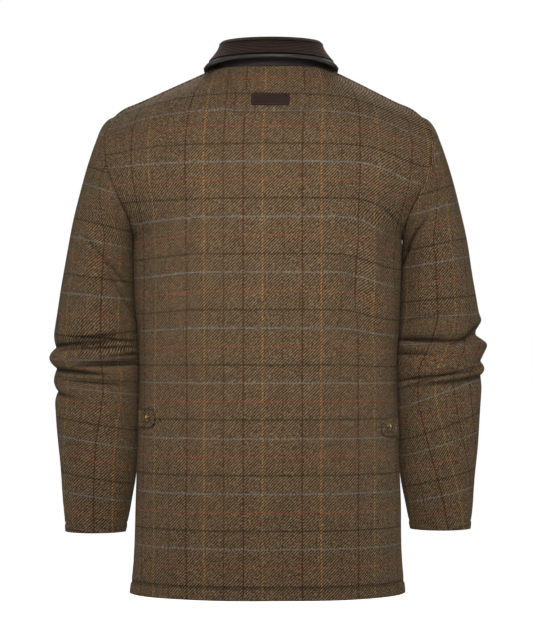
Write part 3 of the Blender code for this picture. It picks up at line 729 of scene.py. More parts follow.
def panel_surface(half, across, height):
    """Points and outward directions of a torso panel. across below 0 is the wearer's left."""
    inset_rows = np.where(height > NECK_BACK - 0.01, height - SEAM_GAP / 2, height)
    reach = np.clip(np.abs(across), 0, 1)
    points = torso(half, reach, inset_rows)
    normals = torso_normals(half, reach, inset_rows)
    at_side = (reach > 0.9999) & (height <= UNDERARM + 0.01)
    points[..., 1] = np.where(at_side, -half * SIDE_SEAM_LAP, points[..., 1])
    flip = stack(np.where(across < 0, -1, 1), 1, 1)
    points, normals = points * flip, normals * flip
    above_hem = height - HEM
    raised = HEM_RAISED * (1 - smoothstep(HEM_TURN_UP - 2, HEM_TURN_UP + 2, above_hem))
    raised = raised - 0.9 * np.exp(-(((above_hem - HEM_TURN_UP - 2) / 2.6) ** 2))
    raised = raised - body_fold_depth(half, points) * (1 - smoothstep(0.94, 1, reach))
    below_tip = 1 - smoothstep(-120, -20, height)
    above_underarm = smoothstep(UNDERARM, UNDERARM + 60, height)
    raised = raised - seam_roll((1 - reach) * CLOTH_TO_SIDE) * below_tip * above_underarm
    on_shoulder = smoothstep(NECK_SHARE - 0.02, NECK_SHARE + 0.02, reach) * (1 - smoothstep(0.85, 1, reach))
    raised = raised - seam_roll(NECK_BACK - height) * on_shoulder
    return shoulder_rounded(points + normals * raised[..., None]), normals


def panel_cloth(half, points, across, height):
    """Where each point lies on the flat cloth: across it from the centre line, and along it."""
    middle = int(np.argmin(np.abs(across[0])))
    run = run_length(points, 1)
    u = (run - run[:, middle:middle + 1]) * np.where(across[0, -1] < 0, -1, 1)
    u = u if half == BACK else -u
    x, z = points[..., 0], points[..., 2]
    rows = height[:, 0]
    centre = torso(half, np.zeros(len(rows)), rows)
    up = run_length(centre, 0)
    start = int(np.searchsorted(centre[:, 2], -CHECK_WEFT_START))
    if half == FRONT:
        along = run_length(points, 0)
        return np.stack([u, centre[start, 2] + along - along[start:start + 1]], axis=-1)
    curved = centre[start, 2] + up - up[start]
    level = np.where(np.arange(len(rows)) <= start, centre[:, 2], curved)[:, None]
    near_neck = smoothstep(-110, -50, level)
    right_keeps = 0.75 * smoothstep(110, 205, np.abs(x)) * (1 - near_neck) + 0.95 * near_neck
    keeps_row = np.where(x > 0, right_keeps, 0.1 + 0.33 * near_neck)
    sag = np.where(x > 0, 20.0, 7.0) * smoothstep(95, 190, np.abs(x))
    sag = sag * smoothstep(-470, -300, z) * (1 - smoothstep(-236, -190, z))
    return np.stack([u, level + (1 - keeps_row) * (z - centre[:, 2:3]) + sag], axis=-1)


def panel_crease_shade(across, height):
    """Painted shade along the armhole seam, over the turned-up hem and down the side seam below the underarm,
    from 0 to 1.
    """
    from_seam = (1 - np.abs(across)) * CLOTH_TO_SIDE
    armhole = np.exp(-((from_seam / 2.2) ** 2)) * smoothstep(UNDERARM, UNDERARM + 40, height)
    hem = np.exp(-(((height - HEM - HEM_TURN_UP - 2) / 2.2) ** 2))
    side = np.exp(-((from_seam / 1.1) ** 2)) * (1 - smoothstep(UNDERARM - 10, UNDERARM, height))
    return np.clip(0.6 * armhole + 0.45 * hem + 0.55 * side, 0, 1)


def make_back():
    right = half_columns()
    across, height = np.meshgrid(np.concatenate([-right[:0:-1], right]), body_rows())
    outer, normals = panel_surface(BACK, across, height)
    inner = outer - normals * sizes().tweed / MM
    made = cloth_wall("back_cloth", outer, inner, panel_cloth(BACK, outer, across, height), tweed_finish())
    # Painted shade along the armhole and side seams and over the hem
    mark(made, "creased", panel_crease_shade(across, height))
    place(made, "tweed", "back")
    row = panel_surface(BACK, np.linspace(-0.985, 0.985, 260), np.full(260, HEM + HEM_ROW))
    hem = sew("back_hem_stitches", [lifted(row, ROW_LIFT)], "tweed", HEM_PITCH)


def lap_depth(across, side):
    """The left front laps over the right one, which sinks behind it at the centre."""
    sunk = LAP_SUNK if side == RIGHT else 0.0
    return sunk * (1 - smoothstep(0.1, 0.3, across))


def front_surface(side, across, height):
    """Points and outward directions of one front. across below 0 is its lap past the centre."""
    points, normals = panel_surface(FRONT, across * side, height)
    return points - normals * lap_depth(across, side)[..., None], normals


def make_front(side):
    lap = FRONT_LAP / (BODY[0].half_width * 1.75)
    columns = np.concatenate([np.linspace(-lap, 0, 7)[:-1], half_columns()])
    across, height = np.meshgrid(columns, body_rows())
    outer, normals = front_surface(side, across, height)
    inner = outer - normals * sizes().tweed / MM
    cloth = panel_cloth(FRONT, outer, across * side, height)
    name = f"front_{SIDES[side]}"
    made = cloth_wall(f"{name}_cloth", outer, inner, cloth, tweed_finish())
    # Painted shade along the armhole and side seams and over the hem
    mark(made, "creased", panel_crease_shade(across, height))
    place(made, "tweed", name)
    rows = [front_surface(side, np.linspace(-lap + 0.012, 0.985, 150), np.full(150, HEM + HEM_ROW))]
    if side == LEFT:
        up = np.linspace(HEM + HEM_ROW, NECK_BACK - 14, 260)
        rows.append(front_surface(side, np.full(260, -lap + 0.016), up))
    edge = sew(f"{name}_stitches", [lifted(row, ROW_LIFT) for row in rows], "tweed", HEM_PITCH)


def sleeve_surface(side, around, along):
    points, normals = sleeve(around, along), sleeve_normals(around, along)
    above_cuff = along - SLEEVE[-1].height
    raised = CUFF_RAISED * (1 - smoothstep(CUFF_TURN_UP - 2, CUFF_TURN_UP + 2, above_cuff))
    raised = raised - 0.7 * np.exp(-(((above_cuff - CUFF_TURN_UP - 2) / 2.2) ** 2))
    below_tip = np.sin(around / 2) ** 2
    away_from_tip = smoothstep(0.05, 0.3, below_tip) * (1 - smoothstep(0.7, 0.95, below_tip))
    raised = np.where(along < 0, raised, -seam_roll(np.maximum(along, 0) * 150) * away_from_tip)
    for seam in (OUTER_SEAM, HIND_SEAM, FORE_SEAM):
        raised = raised - seam_roll(np.radians(turn_from(around, seam)) * 60)
    raised = raised - sleeve_fold_depth(side, around, points, along)
    points[..., 2] -= SLEEVE_DROP[side] * (1 - smoothstep(SLEEVE[-1].height, -500, points[..., 2]))
    points = shoulder_rounded(points + normals * raised[..., None])
    return mirrored(points, side), mirrored(normals, side)


def sleeve_cloth(side, around, along):
    """Where each point of the sleeve lies on the flat cloth."""
    points = sleeve(around, along)
    run = run_length(points, 1)
    outer_side = int(np.argmin(np.abs(around[0] - 2 * math.pi)))
    u = (run - run[:, outer_side:outer_side + 1]) * -side + SLEEVE_WARP_SHIFT[side]
    x, z = points[..., 0], points[..., 2]
    check = SLEEVE_CHECK[side]
    heights = column(check, "height")
    slant, taken_up, shifted = (
        through(heights, column(check, name), z) for name in ("slant", "taken_up", "shifted")
    )
    middle = through(column(SLEEVE, "height"), column(SLEEVE, "x"), z)
    v = z - slant * (x - middle) + taken_up + SLEEVE_WEFT_SHIFT[side]
    return np.stack([u + shifted, v], axis=-1)


def make_sleeve(side):
    seams = np.radians([OUTER_SEAM + 360, HIND_SEAM + 360, FORE_SEAM])
    turns = np.concatenate([np.linspace(math.pi, 3 * math.pi, 125), seams - 0.035, seams, seams + 0.035])
    turns = np.unique(np.round(turns, 6))
    head = np.concatenate([[0, 0.006, 0.014, 0.024, 0.036, 0.05], np.linspace(0.07, 0.985, 56)])
    cuff_height = SLEEVE[-1].height
    cuff_top = cuff_height + 18
    upper = np.linspace(SLEEVE[0].height, ELBOW_TOP, 24)[:-1]
    elbow = np.linspace(ELBOW_TOP, ELBOW_LOW, 94)
    lower = np.linspace(ELBOW_LOW, cuff_top, 44)[1:]
    along = np.concatenate([head, upper, elbow, lower, np.linspace(cuff_top, cuff_height, 17)[1:]])
    around, rows = np.meshgrid(turns, along)
    outer, normals = sleeve_surface(side, around[:, :-1], rows[:, :-1])
    inner = outer - normals * sizes().tweed / MM
    name = f"sleeve_{SIDES[side]}"
    cloth = sleeve_cloth(side, around, rows)
    made = cloth_wall(f"{name}_cloth", outer, inner, cloth, tweed_finish(), around=True)
    # Painted shade in the sharp creases of the arm
    mark(made, "creased", sleeve_crease_shade(side, around[:, :-1], outer))
    place(made, "tweed", f"fore_{name}", f"hind_{name}", f"under_{name}")
    ring = np.linspace(0, 2 * math.pi, 140)
    row = sleeve_surface(side, ring, np.full(140, cuff_height + CUFF_ROW))
    cuff = sew(f"{name}_stitches", [lifted(row, ROW_LIFT)], "tweed", HEM_PITCH)


# Collar


def collar_line(line, share):
    """Point of the fold or the outer edge. share goes from the centre back (0) to COLLAR_END at the front."""
    angle = share / COLLAR_END * math.radians(180 - line.front_end)
    back = angle <= math.pi / 2
    depth = np.where(back, line.back, line.front)
    x = line.half_width * np.sin(angle)
    y = line.centre - depth * np.cos(angle)
    cosine = np.abs(np.cos(angle))
    side_height = line.height - line.side_drop
    behind = side_height + line.side_drop * cosine
    ahead = side_height - line.front_drop * cosine**NECK_SCOOP
    return stack(x, y, np.where(back, behind, ahead))


def collar_seam(share):
    """Neck seam under the collar."""
    angle = share * math.pi
    back = angle <= math.pi / 2
    return np.where(back[..., None], neckline(BACK, angle), neckline(FRONT, math.pi - angle))


def collar_surface(share, across):
    """Surface between the two layers: across is 0 at the neck seam, 1 at the fold and 2 at the edge."""
    share, across = np.broadcast_arrays(share, across)
    seam, fold, edge = collar_seam(share), collar_line(COLLAR_FOLD, share), collar_line(COLLAR_EDGE, share)
    outward = unit((edge - fold) * np.array([1, 1, 0]))
    up = np.array([0, 0, 1.0])
    past_back = smoothstep(0.28, 0.46, share)[..., None]
    seam = seam + up * (0.45 + 0.35 * past_back) - outward * (0.6 + 1.3 * past_back)
    roll = COLLAR_ROLL
    within = fold - outward * roll - up * roll
    beyond = fold + outward * roll - up * roll
    s = np.clip(across, 0, ROLL_START)[..., None] / ROLL_START
    stand = seam * (1 - s) ** 2 + 2 * s * (1 - s) * (within - up * 12) + s**2 * within
    turn = (np.clip(across, ROLL_START, ROLL_END) - ROLL_START) / ROLL_SHARE * math.pi
    arc = fold - up * roll - outward * roll * np.cos(turn)[..., None] + up * roll * np.sin(turn)[..., None]
    f = (np.maximum(across, ROLL_END)[..., None] - ROLL_END) / FALL_SHARE
    fall = beyond * (1 - f) ** 2 + 2 * f * (1 - f) * (beyond - up * 9 + outward * 3) + f**2 * edge
    fall = fall + outward * np.maximum(f - 1, 0) * 12
    found = np.where((across < ROLL_START)[..., None], stand, arc)
    return np.where((across > ROLL_END)[..., None], fall, found)


def collar_normals(share, across):
    step = 0.02
    along = collar_surface(share + step, across) - collar_surface(share - step, across)
    over = collar_surface(share, across + step) - collar_surface(share, np.maximum(across - step, 0))
    return unit(np.cross(over, along))


def collar_grid(rows, steps=64, roll_from=9.0):
    """Whole collar, from the wearer's left front end round the back to the right one.

    The rolled edge past roll_from is narrower at the centre back.
    """
    right = np.append(np.linspace(0, 1, steps + 1)[:-1], COLLAR_END)
    right = np.unique(np.minimum(right, COLLAR_END))
    share, across = np.meshgrid(right, rows)
    narrowed = 0.5 + 0.5 * smoothstep(0.2, 0.42, share)
    across = np.where(across > roll_from, roll_from + (across - roll_from) * narrowed, across)
    points, normals = collar_surface(share, across), collar_normals(share, across)
    normals[:, 0, 0] = 0
    normals = unit(normals)
    flip = np.array([-1, 1, 1])
    left = slice(None, 0, -1)
    return (np.concatenate([points[:, left] * flip, points], axis=1),
            np.concatenate([normals[:, left] * flip, normals], axis=1),
            np.concatenate([share[:, left], share], axis=1))


def ribs(run):
    """Height of the corduroy's ribs along the cloth: round tops and narrow grooves."""
    return np.sqrt(np.abs(np.sin(math.pi * run / (sizes().rib / MM))))


def collar_rows(stand, roll_steps, fall):
    """Rows across the collar. stand and fall give the first or last row and the number of rows."""
    return np.concatenate([np.linspace(stand[0], ROLL_START, stand[1])[:-1],
                           np.linspace(ROLL_START, ROLL_END, roll_steps)[:-1],
                           np.linspace(ROLL_END, *fall)])


def make_collar():
    fall_edge = 2 - FALL_SHARE * (LEATHER_SHOWS - 2.5) / FALL_LENGTH
    rows = collar_rows((0.08, 62), 42, (fall_edge, 78))
    points, normals, share = collar_grid(rows)
    middle = points.shape[1] // 2
    run = run_length(points[:, middle:middle + 1], 0)
    run = run - run[-1] + 0.35
    rib = ribs(run) * smoothstep(-0.2, 0.9, 0.35 - run) * sizes().rib_height / MM
    near = SEAM_GAP * 1.5
    outer = points + normals * (near + sizes().corduroy / MM + rib)[..., None]
    cloth = np.stack([run_length(points, 1), np.broadcast_to(run, share.shape)], axis=-1)
    upper = cloth_wall("collar_corduroy", outer, points + normals * near, cloth, corduroy_finish())
    place(upper, "corduroy", "collar_upper")

    shown = np.linspace(fall_edge + 0.012, LEATHER_END, 16)
    rows = np.concatenate([[-0.08, -0.04], collar_rows((0, 26), 14, (fall_edge - 0.02, 18)), shown])
    points, normals, share = collar_grid(rows, roll_from=fall_edge)
    across = np.broadcast_to(rows[:, None], share.shape)
    rolled = np.clip((across - fall_edge) / (LEATHER_END - fall_edge), 0, 1)
    bulge = 2.1 * np.sin(math.pi * rolled) ** 0.7 * (rolled > 0)
    top = points - normals * near + normals * bulge[..., None]
    under = points - normals * (near + sizes().leather / MM + 0.6 * (rolled > 0))[..., None]
    first = 1 - smoothstep(0.0, 0.12, across)
    for layer in (top, under):
        layer[..., 2] -= 0.45 * first
    behind_lap = np.where(points[2][:, 0] > 0, 0.25, 0.88)
    tuck = (1 - behind_lap * smoothstep(0.5, 0.7, share[0]))[:, None]
    down = np.array([0, 0, -1.0])
    for layer, inwards, drop in ((top, 3.9, -1.2), (under, 2.6, 0.0)):
        layer[1] = points[2] + (normals[2] * inwards + down * drop) * tuck
        layer[0] = points[2] + (normals[2] * inwards + down * 5.0) * tuck
    cloth = np.stack([run_length(points, 1), run_length(points, 0)], axis=-1)
    leather = leather_finish("collar_hide", colours().leather, 0.40, 0.55)
    lower = cloth_wall("collar_leather", top, under, cloth, leather)
    place(lower, "leather", "collar_under")


# Pieces that lie on the back


def back_at(x, z):
    """Point and outward direction of the back panel at a given x and height."""
    x, z = np.broadcast_arrays(np.asarray(x, float), np.asarray(z, float))
    sign = np.where(x < 0, -1.0, 1.0)
    across, height = np.abs(x) / 230, z.copy()
    for _ in range(12):
        here = torso(BACK, across, height)
        d_across = (torso(BACK, across + 0.002, height) - here) / 0.002
        d_height = (torso(BACK, across, height - 0.5) - here) / -0.5
        miss_x, miss_z = np.abs(x) - here[..., 0], z - here[..., 2]
        det = d_across[..., 0] * d_height[..., 2] - d_height[..., 0] * d_across[..., 2]
        across = np.clip(across + (miss_x * d_height[..., 2] - miss_z * d_height[..., 0]) / det, 0, 0.995)
        step = (d_across[..., 0] * miss_z - d_across[..., 2] * miss_x) / det
        height = np.clip(height + step, HEM, NECK_BACK)
    return panel_surface(BACK, across * sign, height)


def patch(name, x, z, lift, thickness, edge, cloth, finish):
    """Flat piece that lies on the back, with its rim rounded over. edge is the distance from its rim."""
    points, normals = back_at(x, z)
    inner = points + normals * lift
    soft = 1 - 0.75 * (1 - np.clip(edge / (0.8 * thickness), 0, 1)) ** 2
    outer = inner + normals * (thickness * soft)[..., None]
    made = cloth_wall(name, outer, inner, cloth, finish)
    # Painted shade in a thin band along the rim, which the tweed finish darkens
    mark(made, "creased", 0.9 * np.exp(-((edge / 0.9) ** 2)))
    return made


def rounded(x, z, width, height, corner):
    """Rectangle's points pulled in at its corners."""
    over_x = np.clip(np.abs(x) - (width / 2 - corner), 0, corner) / corner
    over_z = np.clip(np.abs(z) - (height / 2 - corner), 0, corner) / corner
    pull_x = corner * (over_x - over_x * np.sqrt(1 - over_z**2 / 2))
    pull_z = corner * (over_z - over_z * np.sqrt(1 - over_x**2 / 2))
    return x - np.sign(x) * pull_x, z - np.sign(z) * pull_z


def rim_steps(half_size, count):
    """Steps across a patch, closer together at its rims."""
    inside = np.linspace(-1, 1, count) * (half_size - 1.4)
    rim = np.array([half_size, half_size - 0.25, half_size - 0.6, half_size - 1.0])
    return np.concatenate([-rim, inside, rim[::-1]])


def rectangle(size, columns, rows):
    """Grid of points over a rectangle, and their distance from its rim."""
    half_x, half_z = size["width"] / 2, size["height"] / 2
    x, z = np.meshgrid(rim_steps(half_x, columns), rim_steps(half_z, rows))
    return x, z, np.minimum(half_x - np.abs(x), half_z - np.abs(z))


def outline(width, height, corner, inset, count=240):
    """Points along a rounded rectangle's edge, moved in by inset."""
    half_x, half_z, r = width / 2 - inset, height / 2 - inset, max(corner - inset, 0.4)
    turns = np.linspace(0, 2 * math.pi, count)
    reach = 1 / np.maximum(np.abs(np.cos(turns)) / half_x, np.abs(np.sin(turns)) / half_z)
    return rounded(reach * np.cos(turns), reach * np.sin(turns), 2 * half_x, 2 * half_z, r)


def make_label():
    strip = HANG_STRIP
    x, z, edge = rectangle(strip, 60, 18)
    cloth = np.stack([x - 14.0, z + strip["middle"] + 7.5], axis=-1)
    z = z + strip["middle"]
    made = patch("hang_strip_cloth", x, z, SEAM_GAP, strip["thickness"], edge, cloth, tweed_finish())
    place(made, "tweed", "hang_strip")
    lines = []
    for side in SIDES:
        for inset in (2.2, 5.6):
            up = np.linspace(-0.46, 0.46, 60) * strip["height"] + strip["middle"]
            row = back_at(np.full(60, side * (strip["width"] / 2 - inset)), up)
            lines.append(lifted(row, SEAM_GAP + strip["thickness"] + ROW_LIFT))
    ends = sew("hang_strip_stitches", lines, "tweed", STRIP_PITCH)

    size = LABEL
    x, z, edge = rectangle(size, 44, 14)
    cloth = np.stack([x, z], axis=-1)
    x, z = rounded(x, z, size["width"], size["height"], size["corner"])
    lift = SEAM_GAP + strip["thickness"] + SEAM_GAP
    hide = leather_finish("label_hide", colours().label, 0.6, 0.16)
    made = patch("label_hide", x, z + size["middle"], lift, size["thickness"], edge, cloth, hide)
    place(made, "label_leather", "label")
    x, z = outline(size["width"], size["height"], size["corner"], 2.0)
    lines = [lifted(back_at(x, z + size["middle"]), lift + size["thickness"] + LOW_ROW_LIFT)]
    border = sew("label_stitches", lines, "label_leather", LABEL_PITCH, 0.8)


def tab_outline(side, u, v):
    """Point of the side tab. u goes from its round tip to the side seam, v from its lower to upper edge."""
    half_height = TAB["height"] / 2
    tip = TAB["tip_x"] + half_height * 0.62 * (1 - np.sqrt(np.clip(1 - v**2, 0, 1)))
    far_x = BODY[3].half_width - 3.0
    x = tip + (far_x - tip) * u**1.6
    return side * x, TAB["middle"][side] + half_height * np.sign(v) * np.abs(v) ** 0.8


def make_tab(side):
    """Side tab sewn into the side seam."""
    v = np.concatenate([[-1, -0.975, -0.94], np.linspace(-0.9, 0.9, 23), [0.94, 0.975, 1]])
    u = np.concatenate([[0, 0.04, 0.09], np.linspace(0.14, 1, 26)])
    u, v = np.meshgrid(u, v)
    x, z = tab_outline(side, u, v)
    tip, _ = tab_outline(side, 0 * u, v)
    edge = np.minimum(np.abs(x - tip), TAB["height"] / 2 - np.abs(z - TAB["middle"][side]))
    cloth = np.stack([x + 9.0, z - 12.0], axis=-1)
    name = f"tab_{SIDES[side]}"
    made = patch(f"{name}_cloth", x, z, 2 * SEAM_GAP, TAB["thickness"], edge, cloth, tweed_finish())
    place(made, "tweed", name)
    turn = np.linspace(-0.84, 0.84, 60)
    far = np.linspace(0.9, 0.26, 24)
    u = np.concatenate([far, np.full(60, 0.26), far[::-1]])
    v = np.concatenate([np.full(24, -0.84), turn, np.full(24, 0.84)])
    row = back_at(*tab_outline(side, u, v))
    lines = [lifted(row, 2 * SEAM_GAP + TAB["thickness"] + LOW_ROW_LIFT)]
    seam = sew(f"{name}_stitches", lines, "tweed", TAB_PITCH)


def lathe(name, profile, steps, finish):
    """Round piece spun from (radius, height) points in millimetres that start and end on its axis."""
    turns = np.arange(steps) * 2 * math.pi / steps
    points, rings = [], []
    for radius, height in profile:
        count = 1 if radius == 0 else steps
        rings.append(range(len(points), len(points) + count))
        points += [(radius * math.cos(a) * MM, radius * math.sin(a) * MM, height * MM) for a in turns[:count]]
    faces = []
    for low, high in zip(rings, rings[1:]):
        for k in range(steps):
            below = [low[k % len(low)], low[(k + 1) % len(low)]]
            above = [high[(k + 1) % len(high)], high[k % len(high)]]
            faces.append(list(dict.fromkeys(below + above)))
    mesh = bpy.data.meshes.new(name)
    mesh.from_pydata(points, [], faces)
    # sunk runs from 0 at the top to 1 at the base; the brass finish darkens by it as painted shade
    top = max(height for _, height in profile)
    sunk = [1 - height / top for (_, height), ring in zip(profile, rings) for _ in ring]
    mesh.attributes.new("sunk", "FLOAT", "POINT").data.foreach_set("value", sunk)
    return finished(name, mesh, finish)


def make_tab_metal():
    """Domed brass caps that hold the tabs, and the spare studs beside them."""
    r, h = TAB_CAP["radius"], TAB_CAP["height"]
    cap = [(0, 0), (r * 0.9, 0), (r, h * 0.16), (r, h * 0.3), (r * 0.95, h * 0.42), (r * 0.86, h * 0.44),
           (r * 0.8, h * 0.4), (r * 0.76, h * 0.46), (r * 0.66, h * 0.72), (r * 0.45, h * 0.92),
           (r * 0.2, h), (0, h)]
    r, h = TAB_STUD["radius"], TAB_STUD["height"]
    stud = [(0, 0), (r, 0), (r, h * 0.2), (r * 0.8, h * 0.32), (r * 0.62, h * 0.45), (r * 0.66, h * 0.75),
            (r * 0.4, h * 0.96), (0, h)]
    for kind, profile, size, lift in (("cap", cap, TAB_CAP, 3 * SEAM_GAP + TAB["thickness"]),
                                      ("stud", stud, TAB_STUD, SEAM_GAP)):
        places, facing = [], []
        for side in SIDES:
            height = TAB["middle"][side] - size.get("drop", 0)
            point, normal = back_at(np.array(side * size["x"]), np.array(height))
            places.append(point + normal * lift)
            facing.append(normal)
        shape = lathe(f"tab_{kind}_shape", profile, 32, brass_finish())
        made = set_out(f"tab_{kind}s", shape, places, facing, brass_finish())
        place(made, "brass", f"tab_{kind}_left", f"tab_{kind}_right")


def button_shape():
    """Horn button with a raised rim, a dished middle and four holes."""
    r, h = FRONT_BUTTON["radius"], FRONT_BUTTON["height"]
    under = [(0, 0), (r * 0.5, 0), (r * 0.85, 0), (r * 0.96, h * 0.2), (r, h * 0.45), (r * 0.985, h * 0.75)]
    rim = [(r - 0.5, h * 0.95), (r - 1.1, h), (r - 1.9, h * 0.96), (r - 2.8, h * 0.8)]
    dish = [(radius, h * 0.7) for radius in np.linspace(r * 0.66, 0.5, 16)]
    made = lathe("button_shape", under + rim + dish + [(0, h * 0.7)], 64, horn_finish())
    for vertex in made.data.vertices:
        if vertex.co.z > h * 0.6 * MM:
            gap = math.hypot(abs(vertex.co.x) / MM - 1.9, abs(vertex.co.y) / MM - 1.9)
            vertex.co.z -= 1.5 * MM * float(1 - smoothstep(0.55, 1.0, gap))
    return made


def make_buttons():
    places, facing, lines = [], [], []
    for height in FRONT_BUTTON["heights"]:
        row = UNDERARM + (height - UNDERARM) * (NECK_BACK - UNDERARM) / (NECK_FRONT - UNDERARM)
        row = np.array(row if height > UNDERARM else height)
        point, normal = panel_surface(FRONT, np.array(0.0), row)
        spot = point + normal * SEAM_GAP
        places.append(spot)
        facing.append(normal)
        across = unit(np.cross(normal, np.array([0.0, 0.0, 1.0])))
        up = np.cross(across, normal)
        top = spot + normal * (FRONT_BUTTON["height"] * 0.7 - 0.1)
        for turn in (1, -1):
            reach = (across + up * turn) * 1.9
            bow = np.linspace(-1, 1, 9)[:, None]
            lines.append(top + reach * bow + normal * 0.5 * (1 - bow**2))
    made = set_out("front_buttons", button_shape(), places, facing, horn_finish())
    place(made, "horn", *[f"front_button_{count}" for count in range(1, 5)])
    sew("button_threads", lines, "tweed", BUTTON_PITCH, 1.0, 1.3)


# Geometry node trees that repeat a shape


def socket_of(tree, name):
    return next(s.identifier for s in tree.interface.items_tree if s.name == name and s.in_out == "INPUT")


def new_tree(name, inputs):
    """Empty geometry tree with its named inputs: its desk, what it is given and its last node."""
    tree = bpy.data.node_groups.new(name, "GeometryNodeTree")
    for label, kind in inputs:
        tree.interface.new_socket(name=label, in_out="INPUT", socket_type=f"NodeSocket{kind}")
    tree.interface.new_socket(name="Geometry", in_out="OUTPUT", socket_type="NodeSocketGeometry")
    return Desk(tree), tree.nodes.new("NodeGroupInput").outputs, tree.nodes.new("NodeGroupOutput")


def end_tree(desk, copies, finish, last):
    """Copies made real and given their finish."""
    real = desk.add("GeometryNodeRealizeInstances", {"Geometry": copies.outputs["Instances"]})
    inputs = {"Geometry": real.outputs["Geometry"], "Material": finish}
    painted = desk.add("GeometryNodeSetMaterial", inputs)
    desk.feed(last.inputs["Geometry"], painted.outputs["Geometry"])
    return desk.tree


def turned(desk, vector, axis):
    """Rotation that points an axis along a vector."""
    node = desk.add("FunctionNodeAlignRotationToVector", {"Vector": vector}, axis=axis)
    return node.outputs["Rotation"]


def stitch_tree():
    """Row of stitches along a line."""
    found = bpy.data.node_groups.get("stitch_row")
    if found:
        return found
    inputs = (("Line", "Geometry"), ("Pitch", "Float"), ("Length", "Float"), ("Thread", "Float"),
              ("Finish", "Material"))
    desk, given, last = new_tree("stitch_row", inputs)
    curve = desk.add("GeometryNodeMeshToCurve", {"Mesh": given["Line"]}).outputs["Curve"]
    points = desk.add("GeometryNodeResampleCurve", {"Curve": curve, "Length": given["Pitch"]}, mode="LENGTH")
    tangent = desk.add("GeometryNodeInputTangent").outputs["Tangent"]
    bead = desk.add("GeometryNodeMeshIcoSphere", {"Radius": 0.5, "Subdivisions": 2})
    sewn = desk.add("GeometryNodeInstanceOnPoints", {
        "Points": points.outputs["Curve"],
        "Instance": bead.outputs["Mesh"],
        "Rotation": turned(desk, tangent, "X"),
        "Scale": desk.vector(given["Length"], given["Thread"], given["Thread"]),
    })
    return end_tree(desk, sewn, given["Finish"], last)


def set_out_tree():
    """One shape set out on points, each copy turned to face the way its point says."""
    found = bpy.data.node_groups.get("set_out")
    if found:
        return found
    inputs = (("Points", "Geometry"), ("Shape", "Object"), ("Finish", "Material"))
    desk, given, last = new_tree("set_out", inputs)
    shape = desk.add("GeometryNodeObjectInfo", {"Object": given["Shape"]})
    facing = desk.add("GeometryNodeInputNamedAttribute", {"Name": "facing"}, data_type="FLOAT_VECTOR")
    copies = desk.add("GeometryNodeInstanceOnPoints", {
        "Points": given["Points"],
        "Instance": shape.outputs["Geometry"],
        "Rotation": turned(desk, facing.outputs["Attribute"], "Z"),
    })
    return end_tree(desk, copies, given["Finish"], last)


def grown(name, mesh, tree, values, finish):
    """Plain mesh piece made by a geometry tree on the given mesh."""
    seed = linked(f"{name}_seed", mesh)
    modifier = seed.modifiers.new("grown", "NODES")
    modifier.node_group = tree
    for label, value in values.items():
        modifier[socket_of(tree, label)] = value
    modifier[socket_of(tree, "Finish")] = finish
    bpy.context.view_layer.update()
    ready = seed.evaluated_get(bpy.context.evaluated_depsgraph_get())
    made = bpy.data.meshes.new_from_object(ready)
    made.name = name
    bpy.data.objects.remove(seed)
    if not made.polygons:
        raise RuntimeError(f"{name} came out empty")
    return finished(name, made, finish)


def sew(name, lines, slot, pitch, stretch=1.0, weight=1.0):
    """Row of stitches along each line of points, in millimetres."""
    points, edges = [], []
    for line in lines:
        start = len(points)
        points += (leaned(line) * MM).tolist()
        edges += [(k, k + 1) for k in range(start, len(points) - 1)]
    mesh = bpy.data.meshes.new(f"{name}_line")
    mesh.from_pydata(points, edges, [])
    values = {
        "Pitch": pitch * MM,
        "Length": sizes().stitch * stretch if pitch > 2 else pitch * 1.2 * MM,
        "Thread": sizes().thread * weight,
    }
    return place(grown(name, mesh, stitch_tree(), values, thread_finish()), slot)


def set_out(name, shape, places, facing, finish):
    """Copies of one shape at the given places, in millimetres."""
    mesh = bpy.data.meshes.new(f"{name}_places")
    mesh.from_pydata((leaned(np.array(places)) * MM).tolist(), [], [])
    ways = mesh.attributes.new("facing", "FLOAT_VECTOR", "POINT")
    ways.data.foreach_set("vector", np.array(facing).ravel())
    made = grown(name, mesh, set_out_tree(), {"Shape": shape}, finish)
    bpy.data.objects.remove(shape)
    return made


# Finishes


class Desk:
    """Adds nodes to one tree and joins them."""

    def __init__(self, tree):
        self.tree = tree

    def feed(self, socket, value):
        if isinstance(value, bpy.types.NodeSocket):
            self.tree.links.new(value, socket)
        else:
            socket.default_value = value

    def fill(self, node, values):
        for name, value in values.items():
            self.feed(node.inputs[name], value)
        return node

    def add(self, kind, inputs=None, **settings):
        node = self.tree.nodes.new(kind)
        for name, value in settings.items():
            setattr(node, name, value)
        return self.fill(node, inputs or {})

    def maths(self, operation, *values):
        node = self.tree.nodes.new("ShaderNodeMath")
        node.operation = operation
        for socket, value in zip(node.inputs, values):
            self.feed(socket, value)
        return node.outputs[0]

    def blend(self, share, first, second, how="MIX"):
        node = self.tree.nodes.new("ShaderNodeMix")
        node.data_type = "RGBA"
        node.blend_type = how
        for number, value in ((0, share), (6, first), (7, second)):
            self.feed(node.inputs[number], value)
        return node.outputs[2]

    def noise(self, vector, scale, detail=2.0):
        node = self.add("ShaderNodeTexNoise", {"Vector": vector, "Scale": scale, "Detail": detail})
        return node.outputs["Fac"]

    def vector(self, x, y, z=0.0):
        return self.add("ShaderNodeCombineXYZ", {"X": x, "Y": y, "Z": z}).outputs["Vector"]

    def cloth(self):
        return self.add("ShaderNodeUVMap", uv_map="cloth").outputs["UV"]

    def where(self):
        return self.add("ShaderNodeTexCoord").outputs["Object"]

    def marked(self, name):
        return self.add("ShaderNodeAttribute", attribute_name=name).outputs["Fac"]

    def bump(self, height, strength, depth):
        """Relief of the surface, with depth in millimetres."""
        inputs = {"Height": height, "Strength": strength, "Distance": depth * MM}
        return self.add("ShaderNodeBump", inputs).outputs["Normal"]

    def between(self, value, low, high):
        """Value from 0 to 1 spread over low to high."""
        inputs = {"Value": value, "To Min": low, "To Max": high}
        return self.add("ShaderNodeMapRange", inputs).outputs["Result"]


